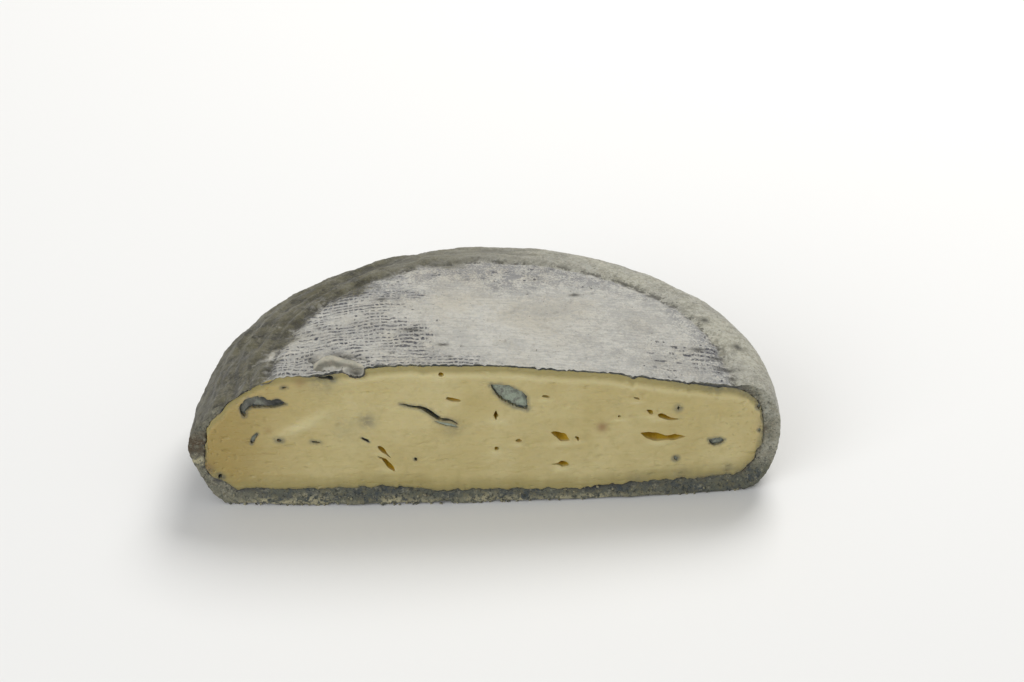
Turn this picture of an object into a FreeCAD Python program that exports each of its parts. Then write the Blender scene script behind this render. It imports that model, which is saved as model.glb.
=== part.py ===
"""Half of a small soft blue cheese, cut through its middle and standing on its base.

The wheel's axis is Z and its flat base is at Z = 0.  The knife came down near the plane
Y = 0, so the cut looks towards -Y and the curved rind is on the +Y side.  The wheel is
lofted through rings, each worked out from the sizes below: a chamfered lower wall, a
belly, a shoulder that is full at +X and long and sloping at -X, a crease where the mat
ended, and a low crown.  The soft paste has swelled a little past the cut edge of the
rind, and its holes, cracks and mould pockets are pressed into that face.  A tongue of
rind was dragged over the top edge by the knife.
"""
import FreeCAD, Part
import math
import os

# Wheel: driving dimensions, mm.
belly_radius = 64.2         # widest radius, round the belly
foot_radius = 56.6          # radius of the flat base
crease_radius = 48.8        # mean radius of the crease round the top
crease_drift = 4.6          # the crease lies this much further out at +X
belly_height = 15.6         # height of the widest ring
crease_height = 28.4        # mean height of the crease
crease_lean = (-1.3, 1.9)   # the crease is this much higher towards +X and +Y
crease_swell = 0.9          # a rise of the crease, behind and to the right
crown_height = 33.7         # height of the top on the wheel's axis
crown_skew = 3.3            # how far the crown's summit leans towards -X
crease_depth = 1.0          # how far the crease pulls the skin down
lump = 0.35                 # height of the slow lumps on the wall and the top

# Fullness of the wall: 1 is a straight bevel, 2 an ellipse, more is squarer.
low_fullness = (1.35, 2.10)     # below the belly, at -X and at +X
high_fullness = (1.45, 2.50)    # above the belly, at -X and at +X
back_fullness = 0.4             # added above the belly, behind and to the right

# Out of round: waves round the wheel, share of the radius, and turn in degrees.
lobes = ((1, 0.021, 101.0), (2, 0.021, 144.0), (3, 0.008, 111.0), (4, 0.018, 90.0), (5, 0.018, 0.0))

# Rind and cut, mm.
rind_top = 0.8              # rind over the paste at the top edge of the cut
rind_side = 2.8             # rind at the sides
rind_base = 3.5             # rind under the paste
rind_base_lean = -0.9       # the base rind is this much thicker at +X
slump = 2.3                 # how far the foot of the cut sags forward in the middle
paste_swell = 0.5           # how far the paste stands proud of the cut rind
paste_slab = 6.0            # how far the modelled paste reaches back behind the cut

# Tongue of rind over the top edge, mm.
tongue_width = 3.6
tongue_thickness = 1.1
tongue_arch = 1.0           # rise of the rolled part over the top
tongue_drop = 2.6           # how far the tip hangs below the edge
tongue_start = -0.55        # where the roll begins, as a share of the belly radius
tongue_end = -0.39          # where the tip hangs, as a share of the belly radius
dent_depth = 1.1            # dent in the rind behind the roll

ring_points = 56
cap_share = 0.06            # the loft closes in a flat spot of this share of the crease
foot_steps = (90.0, 70.0, 50.0, 32.0, 15.0, 0.0)
shoulder_steps = (15.0, 32.0, 48.0, 62.0, 74.0, 83.0)
crown_steps = (0.955, 0.87, 0.74, 0.58, 0.42, 0.26, 0.14)

# Round holes in the cut: (across, up) as shares of the belly radius and the crown
# height, then length, height and depth in mm and the tilt in degrees.
eyes = (
    ((0.050, 0.644), 1.9, 1.9, 1.6, 0.0),
    ((0.255, 0.464), 3.6, 2.3, 2.4, -12.0),
    ((0.293, 0.460), 2.2, 0.8, 1.2, -20.0),
    ((0.275, 0.272), 2.6, 1.3, 1.6, -14.0),
    ((0.053, 0.407), 1.0, 1.6, 1.2, 20.0),
    ((0.648, 0.288), 2.0, 1.6, 1.3, 25.0),
    ((0.652, 0.655), 1.1, 1.0, 1.2, 0.0),
    ((-0.217, 0.341), 1.2, 1.2, 1.2, 0.0),
    ((-0.128, 0.950), 1.6, 0.9, 1.1, -5.0),
    ((0.548, 0.640), 1.4, 1.0, 1.2, -20.0),
)

# Long hollows: stations of (across, up) in the same shares and the half width in mm,
# then the depth in mm.
gashes = (
    (((-0.797, 0.680, 0.7), (-0.785, 0.735, 1.1), (-0.750, 0.768, 1.7), (-0.710, 0.768, 1.9),
      (-0.672, 0.762, 1.7), (-0.640, 0.758, 0.9)), 3.0),
    (((-0.258, 0.733, 0.35), (-0.212, 0.714, 0.6), (-0.167, 0.668, 0.85), (-0.130, 0.616, 0.7),
      (-0.080, 0.588, 0.4)), 3.2),
    (((0.042, 0.850, 0.9), (0.068, 0.808, 1.9), (0.105, 0.765, 2.3), (0.138, 0.715, 1.4)), 3.2),
    (((0.532, 0.484, 0.5), (0.568, 0.462, 1.0), (0.600, 0.449, 0.9), (0.638, 0.446, 0.8),
      (0.672, 0.450, 0.4)), 2.6),
    (((0.574, 0.620, 0.7), (0.604, 0.602, 0.7), (0.642, 0.578, 0.35)), 2.0),
    (((0.755, 0.425, 1.0), (0.778, 0.395, 1.3), (0.804, 0.388, 0.8)), 2.4),
    (((-0.338, 0.353, 0.35), (-0.310, 0.318, 0.6), (-0.292, 0.262, 0.45)), 1.8),
    (((-0.336, 0.434, 0.6), (-0.318, 0.396, 0.45)), 1.6),
    (((-0.389, 0.500, 0.4), (-0.370, 0.478, 0.5)), 1.5),
    (((-0.105, 0.768, 0.5), (-0.066, 0.752, 0.45)), 1.4),
    (((-0.524, 0.968, 0.35), (-0.478, 0.958, 0.5)), 1.6),
    (((-0.735, 0.545, 0.6), (-0.757, 0.475, 0.5)), 1.6),
)


def vec(x, y, z):
    """A FreeCAD vector."""
    return FreeCAD.Vector(x, y, z)


def roundness(turn):
    """The wheel's radius at this turn, as a share of its nominal radius."""
    wave = sum(size * math.cos(count * turn - math.radians(phase)) for count, size, phase in lobes)
    return 1.0 + wave


def right_share(turn):
    """1 at +X and 0 at -X."""
    return 0.5 + 0.5 * math.cos(turn)


def between(pair, share):
    """A value between the two of a pair."""
    return pair[0] + (pair[1] - pair[0]) * share


def crease_r(turn, inset):
    """Radius of the crease."""
    return crease_radius + crease_drift * math.cos(turn) - inset


def crease_z(turn):
    """Height of the crease."""
    swell = crease_swell * math.exp(-((turn - 0.45) / 0.35) ** 2)
    return crease_height + crease_lean[0] * math.cos(turn) + crease_lean[1] * math.sin(turn) + swell


def lumps(turn, rise):
    """Slow lumps of the wall: none at the foot and the crease."""
    wave = math.sin(7.0 * turn + 3.0 * rise) + 0.6 * math.sin(11.0 * turn - 5.0 * rise + 1.0)
    return lump * wave * math.sin(math.pi * rise)


def flat_base(x):
    """Height of the rind's foot: flat on the table."""
    return 0.0


def paste_base(x):
    """Height of the paste over the base rind."""
    return rind_base - rind_base_lean * x / foot_radius


def low_wall(turn, angle, side, base_z):
    """A point of the wall below the belly; the angle runs from 90 at the foot to 0."""
    bend = 2.0 / between(low_fullness, right_share(turn))
    out = math.cos(math.radians(angle)) ** bend
    drop = math.sin(math.radians(angle)) ** bend
    foot = foot_radius * roundness(turn) - side
    belly = belly_radius * roundness(turn) - side
    rise = 0.5 * (1.0 - drop)
    r = foot + (belly - foot) * out + lumps(turn, rise)
    x = r * math.cos(turn)
    z_foot = base_z(x) if angle == foot_steps[0] else base_z(0.0) + (base_z(x) - base_z(0.0)) * drop
    return vec(x, r * math.sin(turn), z_foot + (belly_height - z_foot) * (1.0 - drop))


def high_wall(turn, angle, side, top):
    """A point of the shoulder; the angle runs from 0 at the belly to 90 at the crease."""
    share = right_share(turn)
    bend = 2.0 / (between(high_fullness, share) + back_fullness * math.sin(turn) * share)
    out = math.cos(math.radians(angle)) ** bend
    climb = math.sin(math.radians(angle)) ** bend
    belly = belly_radius * roundness(turn) - side
    crease = crease_r(turn, side)
    r = crease + (belly - crease) * out + lumps(turn, 0.5 + 0.5 * climb)
    z = belly_height + (crease_z(turn) - top - belly_height) * climb
    return vec(r * math.cos(turn), r * math.sin(turn), z)


def crown(turn, share, side, top):
    """A point of the top; the share is 1 at the crease and 0 on the axis."""
    r = crease_r(turn, side) * share
    x = r * math.cos(turn)
    y = r * math.sin(turn)
    dome = 1.0 - share * share
    edge = crease_z(turn)
    wave = math.sin(0.17 * x + 0.6) * math.sin(0.15 * y + 0.9)
    z = edge + (crown_height - edge - crown_skew * x / crease_radius + lump * wave) * dome
    return vec(x, y, z - top)


def cap_point(turn):
    """A point of the edge of the small flat spot that closes the top."""
    x = crease_r(turn, 0.0) * cap_share * math.cos(turn)
    y = crease_r(turn, 0.0) * cap_share * math.sin(turn)
    summit = crown_height + lump * math.sin(0.6) * math.sin(0.9)
    return vec(x, y, summit - crown_skew * x / crease_radius)


def ring(point_at):
    """Points worked out at even turns round the wheel."""
    points = []
    for index in range(ring_points):
        turn = 2.0 * math.pi * index / ring_points
        points.append(point_at(turn if turn <= math.pi else turn - 2.0 * math.pi))
    return points


def wheel_rings():
    """The rings of the whole wheel, from the foot up over the belly to the flat spot."""
    dip = vec(0.0, 0.0, -crease_depth)
    rings = [ring(lambda turn, a=angle: low_wall(turn, a, 0.0, flat_base)) for angle in foot_steps]
    for angle in shoulder_steps:
        rings.append(ring(lambda turn, a=angle: high_wall(turn, a, 0.0, 0.0)))
    rings.append(ring(lambda turn: high_wall(turn, 90.0, 0.0, 0.0) + dip))
    for share in crown_steps:
        rings.append(ring(lambda turn, s=share: crown(turn, s, 0.0, 0.0)))
    rings.append(ring(cap_point))
    return rings


def end_knots(count):
    """Knots and multiplicities of a cubic spline that starts and ends on its end poles."""
    knots = list(range(count - 2))
    return knots, [4] + [1] * (count - 4) + [4]


def wheel():
    """The whole wheel: a skin over the rings, closed by its flat base and flat spot."""
    rings = wheel_rings()
    poles = [list(row) for row in zip(*rings)]
    up_knots, up_mults = end_knots(len(rings))
    skin = Part.BSplineSurface()
    skin.buildFromPolesMultsKnots(
        poles, [1] * (ring_points + 1), up_mults, list(range(ring_points + 1)), up_knots,
        True, False, 3, 3)
    side = skin.toShape()
    level = [edge for edge in side.Edges if edge.isClosed()]
    ends = [Part.Face(Part.Wire([edge])) for edge in level]
    shell = Part.makeShell([side] + ends)
    shell.sewShape()
    solid = Part.makeSolid(shell)
    solid.fix(1e-6, 1e-6, 1e-4)
    return solid


def cut_y(x, z):
    """How far forward the cut has sagged at this place."""
    across = max(0.0, 1.0 - abs(x / foot_radius) ** 3)
    height = min(1.0, max(0.0, z / crown_height))
    return -slump * across * (1.0 - height) ** 1.3


def behind_knife(forward):
    """Everything behind the cut, which can be moved forward by a distance."""
    reach = belly_radius * 1.2
    columns = [reach * (index / 8.0 - 1.0) for index in range(17)]
    rows = [share * crown_height for share in (-0.2, 0.0, 0.12, 0.28, 0.46, 0.64, 0.82, 1.0, 1.35)]
    poles = [[vec(x, cut_y(x, z) - forward, z) for z in rows] for x in columns]
    across_knots, across_mults = end_knots(len(columns))
    up_knots, up_mults = end_knots(len(rows))
    blade = Part.BSplineSurface()
    blade.buildFromPolesMultsKnots(
        poles, across_mults, up_mults, across_knots, up_knots, False, False, 3, 3)
    return blade.toShape().extrude(vec(0.0, belly_radius * 1.3, 0.0))


def on_cut(across, up):
    """A point of the paste's cut face, from its shares."""
    x = across * belly_radius
    z = up * crown_height
    return vec(x, cut_y(x, z) - paste_swell, z)


def eye(place, length, height, depth, tilt):
    """A round hole: a ball stretched to size, turned and set into the cut."""
    stretch = FreeCAD.Matrix()
    stretch.scale(length / 2.0, depth, height / 2.0)
    ball = Part.makeSphere(1.0).transformGeometry(stretch)
    ball.rotate(vec(0.0, 0.0, 0.0), vec(0.0, -1.0, 0.0), tilt)
    ball.translate(on_cut(*place))
    return ball


def tapered(stations):
    """A closed loft through ellipses: each station is a centre and two half axes."""
    wires = []
    for centre, long_axis, short_axis in stations:
        oval = Part.Ellipse(centre + long_axis, centre + short_axis, centre)
        wires.append(Part.Wire([oval.toShape()]))
    return Part.makeLoft(wires, True, False)


def gash(stations, depth):
    """A long hollow along a line on the cut, shallow and narrow at its ends."""
    centres = [on_cut(across, up) for across, up, half_width in stations]
    heading = [(b - a) for a, b in zip(centres, centres[1:])]
    headings = [heading[0]] + [(a + b) for a, b in zip(heading, heading[1:])] + [heading[-1]]
    first = centres[0] - heading[0] * (0.8 * stations[0][2] / heading[0].Length)
    last = centres[-1] + heading[-1] * (0.8 * stations[-1][2] / heading[-1].Length)
    spots = [first] + centres + [last]
    ways = [headings[0]] + headings + [headings[-1]]
    halves = [0.45 * stations[0][2]] + [station[2] for station in stations] + [0.45 * stations[-1][2]]
    widest = max(halves)
    ovals = []
    for centre, way, half in zip(spots, ways, halves):
        across = vec(-way.z, 0.0, way.x).normalize() * half
        inward = vec(0.0, depth * (0.35 + 0.65 * half / widest), 0.0)
        ovals.append((centre, inward, across))
    return tapered(ovals)


def top_edge(across):
    """The point of the rind where the top meets the cut."""
    x = across * belly_radius
    share = min(1.0, abs(x) / crease_r(math.pi if x < 0.0 else 0.0, 0.0))
    return crown(math.pi if x < 0.0 else 0.0, share, 0.0, 0.0)


def tongue():
    """The roll of rind: up out of the top, along the edge, over it and down the paste."""
    steps = 7
    ovals = []
    for index in range(steps):
        share = index / (steps - 1.0)
        edge = top_edge(tongue_start + (tongue_end - tongue_start) * share)
        over = max(0.0, share - 0.45) / 0.55
        rise = tongue_arch * math.sin(math.pi * min(1.0, share / 0.75)) - 0.35 - tongue_drop * over ** 1.5
        back = 2.4 * (1.0 - over) ** 0.8 - 0.9
        centre = edge + vec(0.0, back, rise)
        swell = 0.35 + 0.65 * math.sin(math.pi * (0.15 + 0.75 * share))
        tilt = math.radians(15.0 + 55.0 * over)
        width = vec(0.25, math.cos(tilt), math.sin(tilt)).normalize() * (0.5 * tongue_width * swell)
        thick = vec(0.0, -math.sin(tilt), math.cos(tilt)) * (0.5 * tongue_thickness * swell)
        ovals.append((centre, width, thick))
    return tapered(ovals)


def dent():
    """The hollow left in the top behind the tongue."""
    stretch = FreeCAD.Matrix()
    stretch.scale(0.5 * (tongue_end - tongue_start) * belly_radius, 1.5, 2.0 * dent_depth)
    scoop = Part.makeSphere(1.0).transformGeometry(stretch)
    middle = top_edge(0.5 * (tongue_start + tongue_end))
    scoop.translate(middle + vec(0.0, tongue_width + 0.6, dent_depth))
    return scoop


def paste_block():
    """The paste: its outline on the cut, drawn back into the cheese and forward past it."""
    def side(turn):
        low = [low_wall(turn, angle, rind_side, paste_base) for angle in foot_steps]
        high = [high_wall(turn, angle, rind_side, rind_top) for angle in shoulder_steps]
        return low + high
    over = [crown(0.0, share, rind_side, rind_top) for share in crown_steps]
    over = over + [crown(math.pi, share, rind_side, rind_top) for share in reversed(crown_steps)]
    points = side(0.0) + over + list(reversed(side(math.pi)))
    flat = [vec(point.x, -2.0 * paste_slab, point.z) for point in points]
    curve = Part.BSplineCurve()
    curve.interpolate(flat)
    outline = Part.Wire([curve.toShape(), Part.makeLine(flat[-1], flat[0])])
    return Part.Face(outline).extrude(vec(0.0, 3.0 * paste_slab, 0.0))


def half_cheese():
    """The cut half as one solid."""
    rind = wheel().common(behind_knife(0.0))
    rind = rind.cut(dent())
    whole = rind.fuse(paste_block().common(behind_knife(paste_swell)))
    for place, length, height, depth, tilt in eyes:
        whole = whole.cut(eye(place, length, height, depth, tilt))
    for stations, depth in gashes:
        whole = whole.cut(gash(stations, depth))
    return whole.fuse(tongue())


def main():
    """Build the piece and write its file."""
    os.makedirs("parts", exist_ok=True)
    shape = half_cheese()
    solid = shape.Solids[0]
    print("solids", len(shape.Solids), "valid", shape.isValid(), "volume cm3", round(solid.Volume / 1000.0, 2))
    solid.exportStep("parts/cheese.step")


main()
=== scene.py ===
"""Half of a small soft blue cheese: its looks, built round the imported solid.

The rind skin, the cut edge of the rind, the paste with its holes and blue pockets, the
mould that lines them, the torn tongue of rind and the crumbs along the foot are pieces of
their own. Every size is in millimetres of the modelled cheese, scaled once to the frame.
"""
import logging
import math
import random
from collections.abc import Callable, Iterable, Sequence
from dataclasses import dataclass, field
from enum import Enum

import bmesh
import bpy
from mathutils import Matrix, Vector, noise


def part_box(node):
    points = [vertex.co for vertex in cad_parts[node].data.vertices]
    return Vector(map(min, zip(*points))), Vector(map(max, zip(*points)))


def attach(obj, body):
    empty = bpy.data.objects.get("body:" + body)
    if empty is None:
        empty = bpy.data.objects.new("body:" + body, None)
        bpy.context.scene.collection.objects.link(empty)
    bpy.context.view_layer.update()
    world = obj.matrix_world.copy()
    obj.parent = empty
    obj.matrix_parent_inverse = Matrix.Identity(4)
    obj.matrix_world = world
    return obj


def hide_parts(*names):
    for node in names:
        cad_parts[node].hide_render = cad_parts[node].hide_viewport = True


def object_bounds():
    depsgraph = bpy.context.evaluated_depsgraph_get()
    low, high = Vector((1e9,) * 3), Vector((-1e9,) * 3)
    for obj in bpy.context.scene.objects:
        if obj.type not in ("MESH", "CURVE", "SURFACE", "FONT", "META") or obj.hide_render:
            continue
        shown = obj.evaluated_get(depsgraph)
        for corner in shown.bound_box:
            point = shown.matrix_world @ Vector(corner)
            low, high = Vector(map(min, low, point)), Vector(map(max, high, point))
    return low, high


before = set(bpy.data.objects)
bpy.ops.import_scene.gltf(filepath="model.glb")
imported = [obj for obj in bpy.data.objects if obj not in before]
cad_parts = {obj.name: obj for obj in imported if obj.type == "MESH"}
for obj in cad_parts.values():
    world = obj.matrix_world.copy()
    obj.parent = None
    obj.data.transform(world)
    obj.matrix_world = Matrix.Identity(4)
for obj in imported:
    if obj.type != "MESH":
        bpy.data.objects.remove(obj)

CAD_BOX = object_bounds()
NODE = "cheese"
BODY = "root"
MODEL_SPAN = 126.18      # length in mm of the solid that the sizes below belong to
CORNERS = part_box(NODE)
UNIT = (CORNERS[1][0] - CORNERS[0][0]) / MODEL_SPAN     # metres for each modelled millimetre
LOG = logging.getLogger("cheese")

# Short names for the types that are used most.
Number = float | int
Colour = tuple[float, float, float, float]
Triple = tuple[float, float, float]
Mark = tuple[float, float, float, float]
Form = bmesh.types.BMesh
Socket = bpy.types.NodeSocket
Node = bpy.types.Node
Tree = bpy.types.NodeTree
Layers = dict[str, bmesh.types.BMLayerItem]


class Slot(Enum):
    """Material slots of the record."""

    RIND = "rind"
    PASTE = "paste"
    MOULD = "blue_mould"


class Lining(Enum):
    """What the inside of a hollow looks like."""

    PASTE = "bare paste"
    MOULD = "blue mould"
    CLEFT = "a cleft with a little mould"


def tone(red: Number, green: Number, blue: Number) -> Colour:
    """Turn a display colour of 0 to 255 into the linear colour a shader takes.

    Args:
        red: Display red.
        green: Display green.
        blue: Display blue.

    Returns:
        The linear colour with full alpha.
    """
    def linear(value: Number) -> float:
        """One channel made linear."""
        share = value / 255.0
        return share / 12.92 if share <= 0.04045 else ((share + 0.055) / 1.055) ** 2.4

    return (linear(red), linear(green), linear(blue), 1.0)


def bell(distance: float, width: float) -> float:
    """A smooth bump: 1 at no distance, near 0 past twice the width."""
    return math.exp(-(distance / width) ** 2)


def smooth(low: float, high: float, value: float) -> float:
    """Ease from 0 where the value is low to 1 where it is high; low may be the larger."""
    share = min(1.0, max(0.0, (value - low) / (high - low)))
    return share * share * (3.0 - 2.0 * share)


def wave(x: float, y: float, z: float) -> float:
    """Smooth noise between about -1 and 1 at a place."""
    return noise.noise(Vector((x, y, z)))


def beside(place: Vector, start: Vector, end: Vector) -> tuple[float, float]:
    """How far along a straight line a place lies, 0 to 1, and its distance from the line."""
    run = end - start
    share = min(1.0, max(0.0, (place - start).dot(run) / run.length_squared))
    return share, (place - start - run * share).length


def quarter(angle: float, fullness: float) -> tuple[float, float]:
    """Follow a quarter of a rounded corner.

    Args:
        angle: Degrees, 0 to 90.
        fullness: 2 for a circle, more for a squarer corner.

    Returns:
        The shares outwards and upwards, 1 and 0 at 0 degrees, 0 and 1 at 90.
    """
    bend = 2.0 / fullness
    out = math.cos(math.radians(angle)) ** bend if angle < 90.0 else 0.0
    rise = math.sin(math.radians(angle)) ** bend if angle > 0.0 else 0.0
    return out, rise


def strongest(marks: Iterable[Mark], x: float, z: float) -> float:
    """How strong the strongest of round marks (x, z, radius, strength) is at a place."""
    return max(strength * bell(math.hypot(x - at_x, z - at_z), size) for at_x, at_z, size, strength in marks)


def resample(points: Sequence[Vector], count: int) -> list[Vector]:
    """Space points evenly along a line.

    Args:
        points: The line's points in order.
        count: How many points to return, ends included.

    Returns:
        Evenly spaced points.
    """
    lengths = [0.0]
    for first, second in zip(points, points[1:]):
        lengths.append(lengths[-1] + (second - first).length)
    result: list[Vector] = []
    index = 0
    for step in range(count):
        target = lengths[-1] * step / (count - 1)
        while index < len(points) - 2 and lengths[index + 1] < target:
            index += 1
        run = lengths[index + 1] - lengths[index]
        share = 0.0 if run == 0.0 else (target - lengths[index]) / run
        result.append(points[index].lerp(points[index + 1], min(1.0, share)))
    return result


def glide(points: Sequence[Vector], share: float) -> Vector:
    """A smooth line through points.

    Args:
        points: The points it passes.
        share: How far along, 0 to 1.

    Returns:
        The place on the line.
    """
    spans = len(points) - 1
    index = min(spans - 1, int(share * spans))
    way = share * spans - index
    near = [points[min(spans, max(0, index + step))] for step in (-1, 0, 1, 2)]
    weights = (-(way ** 3) + 2 * way ** 2 - way, 3 * way ** 3 - 5 * way ** 2 + 2,
               -3 * way ** 3 + 4 * way ** 2 + way, way ** 3 - way ** 2)
    result = near[0] * (0.5 * weights[0])
    for point, weight in zip(near[1:], weights[1:]):
        result = result + point * (0.5 * weight)
    return result


@dataclass(frozen=True)
class WheelForm:
    """The whole wheel's form, in millimetres: the same sizes as the solid's."""

    belly_radius: float = 64.2
    foot_radius: float = 56.6
    crease_radius: float = 48.8
    crease_drift: float = 4.6
    belly_height: float = 15.6
    crease_height: float = 28.4
    crease_lean: tuple[float, float] = (-1.3, 1.9)
    crease_swell: float = 0.9
    crease_swell_turn: float = 0.45
    crease_swell_width: float = 0.35
    crown_height: float = 33.7
    crown_skew: float = 3.3
    low_fullness: tuple[float, float] = (1.35, 2.10)
    high_fullness: tuple[float, float] = (1.45, 2.50)
    back_fullness: float = 0.4
    lump: float = 0.35
    lobes: tuple[tuple[int, float, float], ...] = (
        (1, 0.021, 101.0), (2, 0.021, 144.0), (3, 0.008, 111.0), (4, 0.018, 90.0), (5, 0.018, 0.0))
    rind_top: float = 0.8
    rind_side: float = 2.8
    rind_base: float = 3.5
    rind_base_lean: float = -0.9
    slump: float = 2.3
    slump_fade: float = 1.3
    wall_steps: int = 30
    crown_steps: int = 20

    def roundness(self, turn: float) -> float:
        """The radius at this turn, as a share of the nominal radius."""
        return 1.0 + sum(size * math.cos(count * turn - math.radians(phase))
                         for count, size, phase in self.lobes)

    def crease_r(self, turn: float, side: float = 0.0) -> float:
        """Radius of the crease round the top."""
        return self.crease_radius + self.crease_drift * math.cos(turn) - side

    def crease_z(self, turn: float) -> float:
        """Height of the crease round the top, which leans and swells on the right."""
        swell = self.crease_swell * bell(turn - self.crease_swell_turn, self.crease_swell_width)
        lean = self.crease_lean[0] * math.cos(turn) + self.crease_lean[1] * math.sin(turn)
        return self.crease_height + lean + swell

    def lumps(self, turn: float, rise: float) -> float:
        """Slow lumps of the wall, none at the foot and the crease."""
        swing = math.sin(7.0 * turn + 3.0 * rise) + 0.6 * math.sin(11.0 * turn - 5.0 * rise + 1.0)
        return self.lump * swing * math.sin(math.pi * rise)

    def low_wall(self, turn: float, angle: float, side: float = 0.0) -> Vector:
        """A point (radius, height) of the wall below the belly.

        Args:
            turn: The turn round the wheel.
            angle: 90 at the foot, falling to 0 at the belly.
            side: Inset of the wall.

        Returns:
            The point.
        """
        share = 0.5 + 0.5 * math.cos(turn)
        low, high = self.low_fullness
        out, drop = quarter(angle, low + (high - low) * share)
        foot = self.foot_radius * self.roundness(turn) - side
        belly = self.belly_radius * self.roundness(turn) - side
        radius = foot + (belly - foot) * out + self.lumps(turn, 0.5 * (1.0 - drop))
        return Vector((radius, self.belly_height * (1.0 - drop)))

    def high_wall(self, turn: float, angle: float, side: float = 0.0, top: float = 0.0) -> Vector:
        """A point (radius, height) of the shoulder.

        Args:
            turn: The turn round the wheel.
            angle: 0 at the belly, rising to 90 at the crease.
            side: Inset of the wall.
            top: Inset of the top.

        Returns:
            The point.
        """
        share = 0.5 + 0.5 * math.cos(turn)
        low, high = self.high_fullness
        fullness = low + (high - low) * share + self.back_fullness * math.sin(turn) * share
        out, climb = quarter(angle, fullness)
        belly = self.belly_radius * self.roundness(turn) - side
        crease = self.crease_r(turn, side)
        radius = crease + (belly - crease) * out + self.lumps(turn, 0.5 + 0.5 * climb)
        rise = self.crease_z(turn) - top - self.belly_height
        return Vector((radius, self.belly_height + rise * climb))

    def crown(self, turn: float, share: float, side: float = 0.0, top: float = 0.0) -> Vector:
        """A point of the top in space.

        Args:
            turn: The turn round the wheel.
            share: 1 at the crease, 0 on the axis.
            side: Inset of the wall.
            top: Inset of the top.

        Returns:
            The point.
        """
        radius = self.crease_r(turn, side) * share
        x = radius * math.cos(turn)
        y = radius * math.sin(turn)
        dome = 1.0 - share * share
        edge = self.crease_z(turn)
        swing = math.sin(0.17 * x + 0.6) * math.sin(0.15 * y + 0.9)
        skew = self.crown_skew * x / self.crease_radius
        rise = (self.crown_height - edge - skew + self.lump * swing) * dome
        return Vector((x, y, edge + rise - top))

    def wall(self, turn: float, side: float = 0.0, top: float = 0.0) -> list[Vector]:
        """The wall's line from the foot to the crease.

        Args:
            turn: The turn round the wheel.
            side: Inset of the wall.
            top: Inset of the top.

        Returns:
            Points (radius, height).
        """
        step_angle = 90.0 / self.wall_steps
        low = [self.low_wall(turn, 90.0 - step_angle * step, side) for step in range(self.wall_steps)]
        high = [self.high_wall(turn, step_angle * step, side, top) for step in range(self.wall_steps + 1)]
        return low + high

    def cut_y(self, x: float, z: float) -> float:
        """How far forward (below 0) the cut has sagged at a place, most at the middle of its foot."""
        across = max(0.0, 1.0 - abs(x / self.foot_radius) ** 3)
        height = min(1.0, max(0.0, z / self.crown_height))
        return -self.slump * across * (1.0 - height) ** self.slump_fade

    def top_z(self, x: float) -> float:
        """Height of the top along the cut."""
        turn = 0.0 if x >= 0.0 else math.pi
        return self.crown(turn, min(1.0, abs(x) / self.crease_r(turn))).z

    def outline(self, side: float, top: float, base: Callable[[float], float]) -> list[Vector]:
        """The closed outline on the cut as (x, z) points, from the middle of the base round by +X.

        Args:
            side: Inset at the sides.
            top: Inset at the top.
            base: Height of the base line at an x.

        Returns:
            The points; the last one repeats the first.
        """
        def climbing(turn: float, way: float) -> list[Vector]:
            """One end of the outline from the base line to the crease.

            Args:
                turn: The turn of that end.
                way: 1 to the right, -1 to the left.

            Returns:
                Points (x, z).
            """
            points = []
            for point in self.wall(turn, side, top):
                low = base(way * point.x) * max(0.0, 1.0 - point.y / self.belly_height)
                points.append(Vector((way * point.x, point.y + low)))
            return points

        count = self.crown_steps
        over = [self.crown(0.0, 1.0 - step / count, side, top) for step in range(1, count)]
        over += [self.crown(math.pi, step / count, side, top) for step in range(count)]
        start = Vector((0.0, base(0.0)))
        return [start, *climbing(0.0, 1.0), *[Vector((point.x, point.z)) for point in over],
                *reversed(climbing(math.pi, -1.0)), start]


FORM = WheelForm()


def paste_base(x: float) -> float:
    """Height of the paste over the base rind at an x on the cut."""
    return FORM.rind_base - FORM.rind_base_lean * x / FORM.foot_radius


@dataclass(frozen=True)
class Hollow:
    """A hole, crack or pocket in the cut.

    Attributes:
        stations: (x, z, half width) along the hollow, on the cut.
        depth: How deep it goes.
        lining: What its inside looks like.
        stain: How far its colour spreads into the paste.
        pale: How pale the mould on its floor is.
    """

    stations: tuple[Triple, ...]
    depth: float
    lining: Lining
    stain: float = 0.0
    pale: float = 0.6

    def near(self, x: float) -> bool:
        """Whether a place across the cut is near enough for the hollow to matter."""
        return abs(self.stations[0][0] - x) <= 12.0

    def distance(self, x: float, z: float) -> float:
        """Distance on the cut from the hollow's lip, negative inside it.

        Args:
            x: Place across the cut.
            z: Height.

        Returns:
            The distance.
        """
        place = Vector((x, z))
        best = math.inf
        points = [(Vector((sx, sz)), half) for sx, sz, half in self.stations]
        for (start, first), (end, second) in zip(points, points[1:]):
            share, gap = beside(place, start, end)
            best = min(best, gap - (first + (second - first) * share))
        return best


def spot(x: float, z: float, length: float, height: float, depth: float, tilt: float, lining: Lining,
         stain: float = 0.0) -> Hollow:
    """A short round hole as a hollow of three stations.

    Args:
        x: Place across the cut.
        z: Height.
        length: Length along its tilt.
        height: Width across its tilt.
        depth: Depth into the paste.
        tilt: Angle from level in degrees.
        lining: What its inside looks like.
        stain: How far its colour spreads.

    Returns:
        The hollow.
    """
    reach = max(0.15, 0.5 * (length - height))
    way = Vector((math.cos(math.radians(tilt)), math.sin(math.radians(tilt)))) * reach
    half = 0.5 * height
    stations = ((x - way.x, z - way.y, 0.8 * half), (x, z, half), (x + way.x, z + way.y, 0.7 * half))
    return Hollow(stations, depth, lining, stain)


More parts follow.
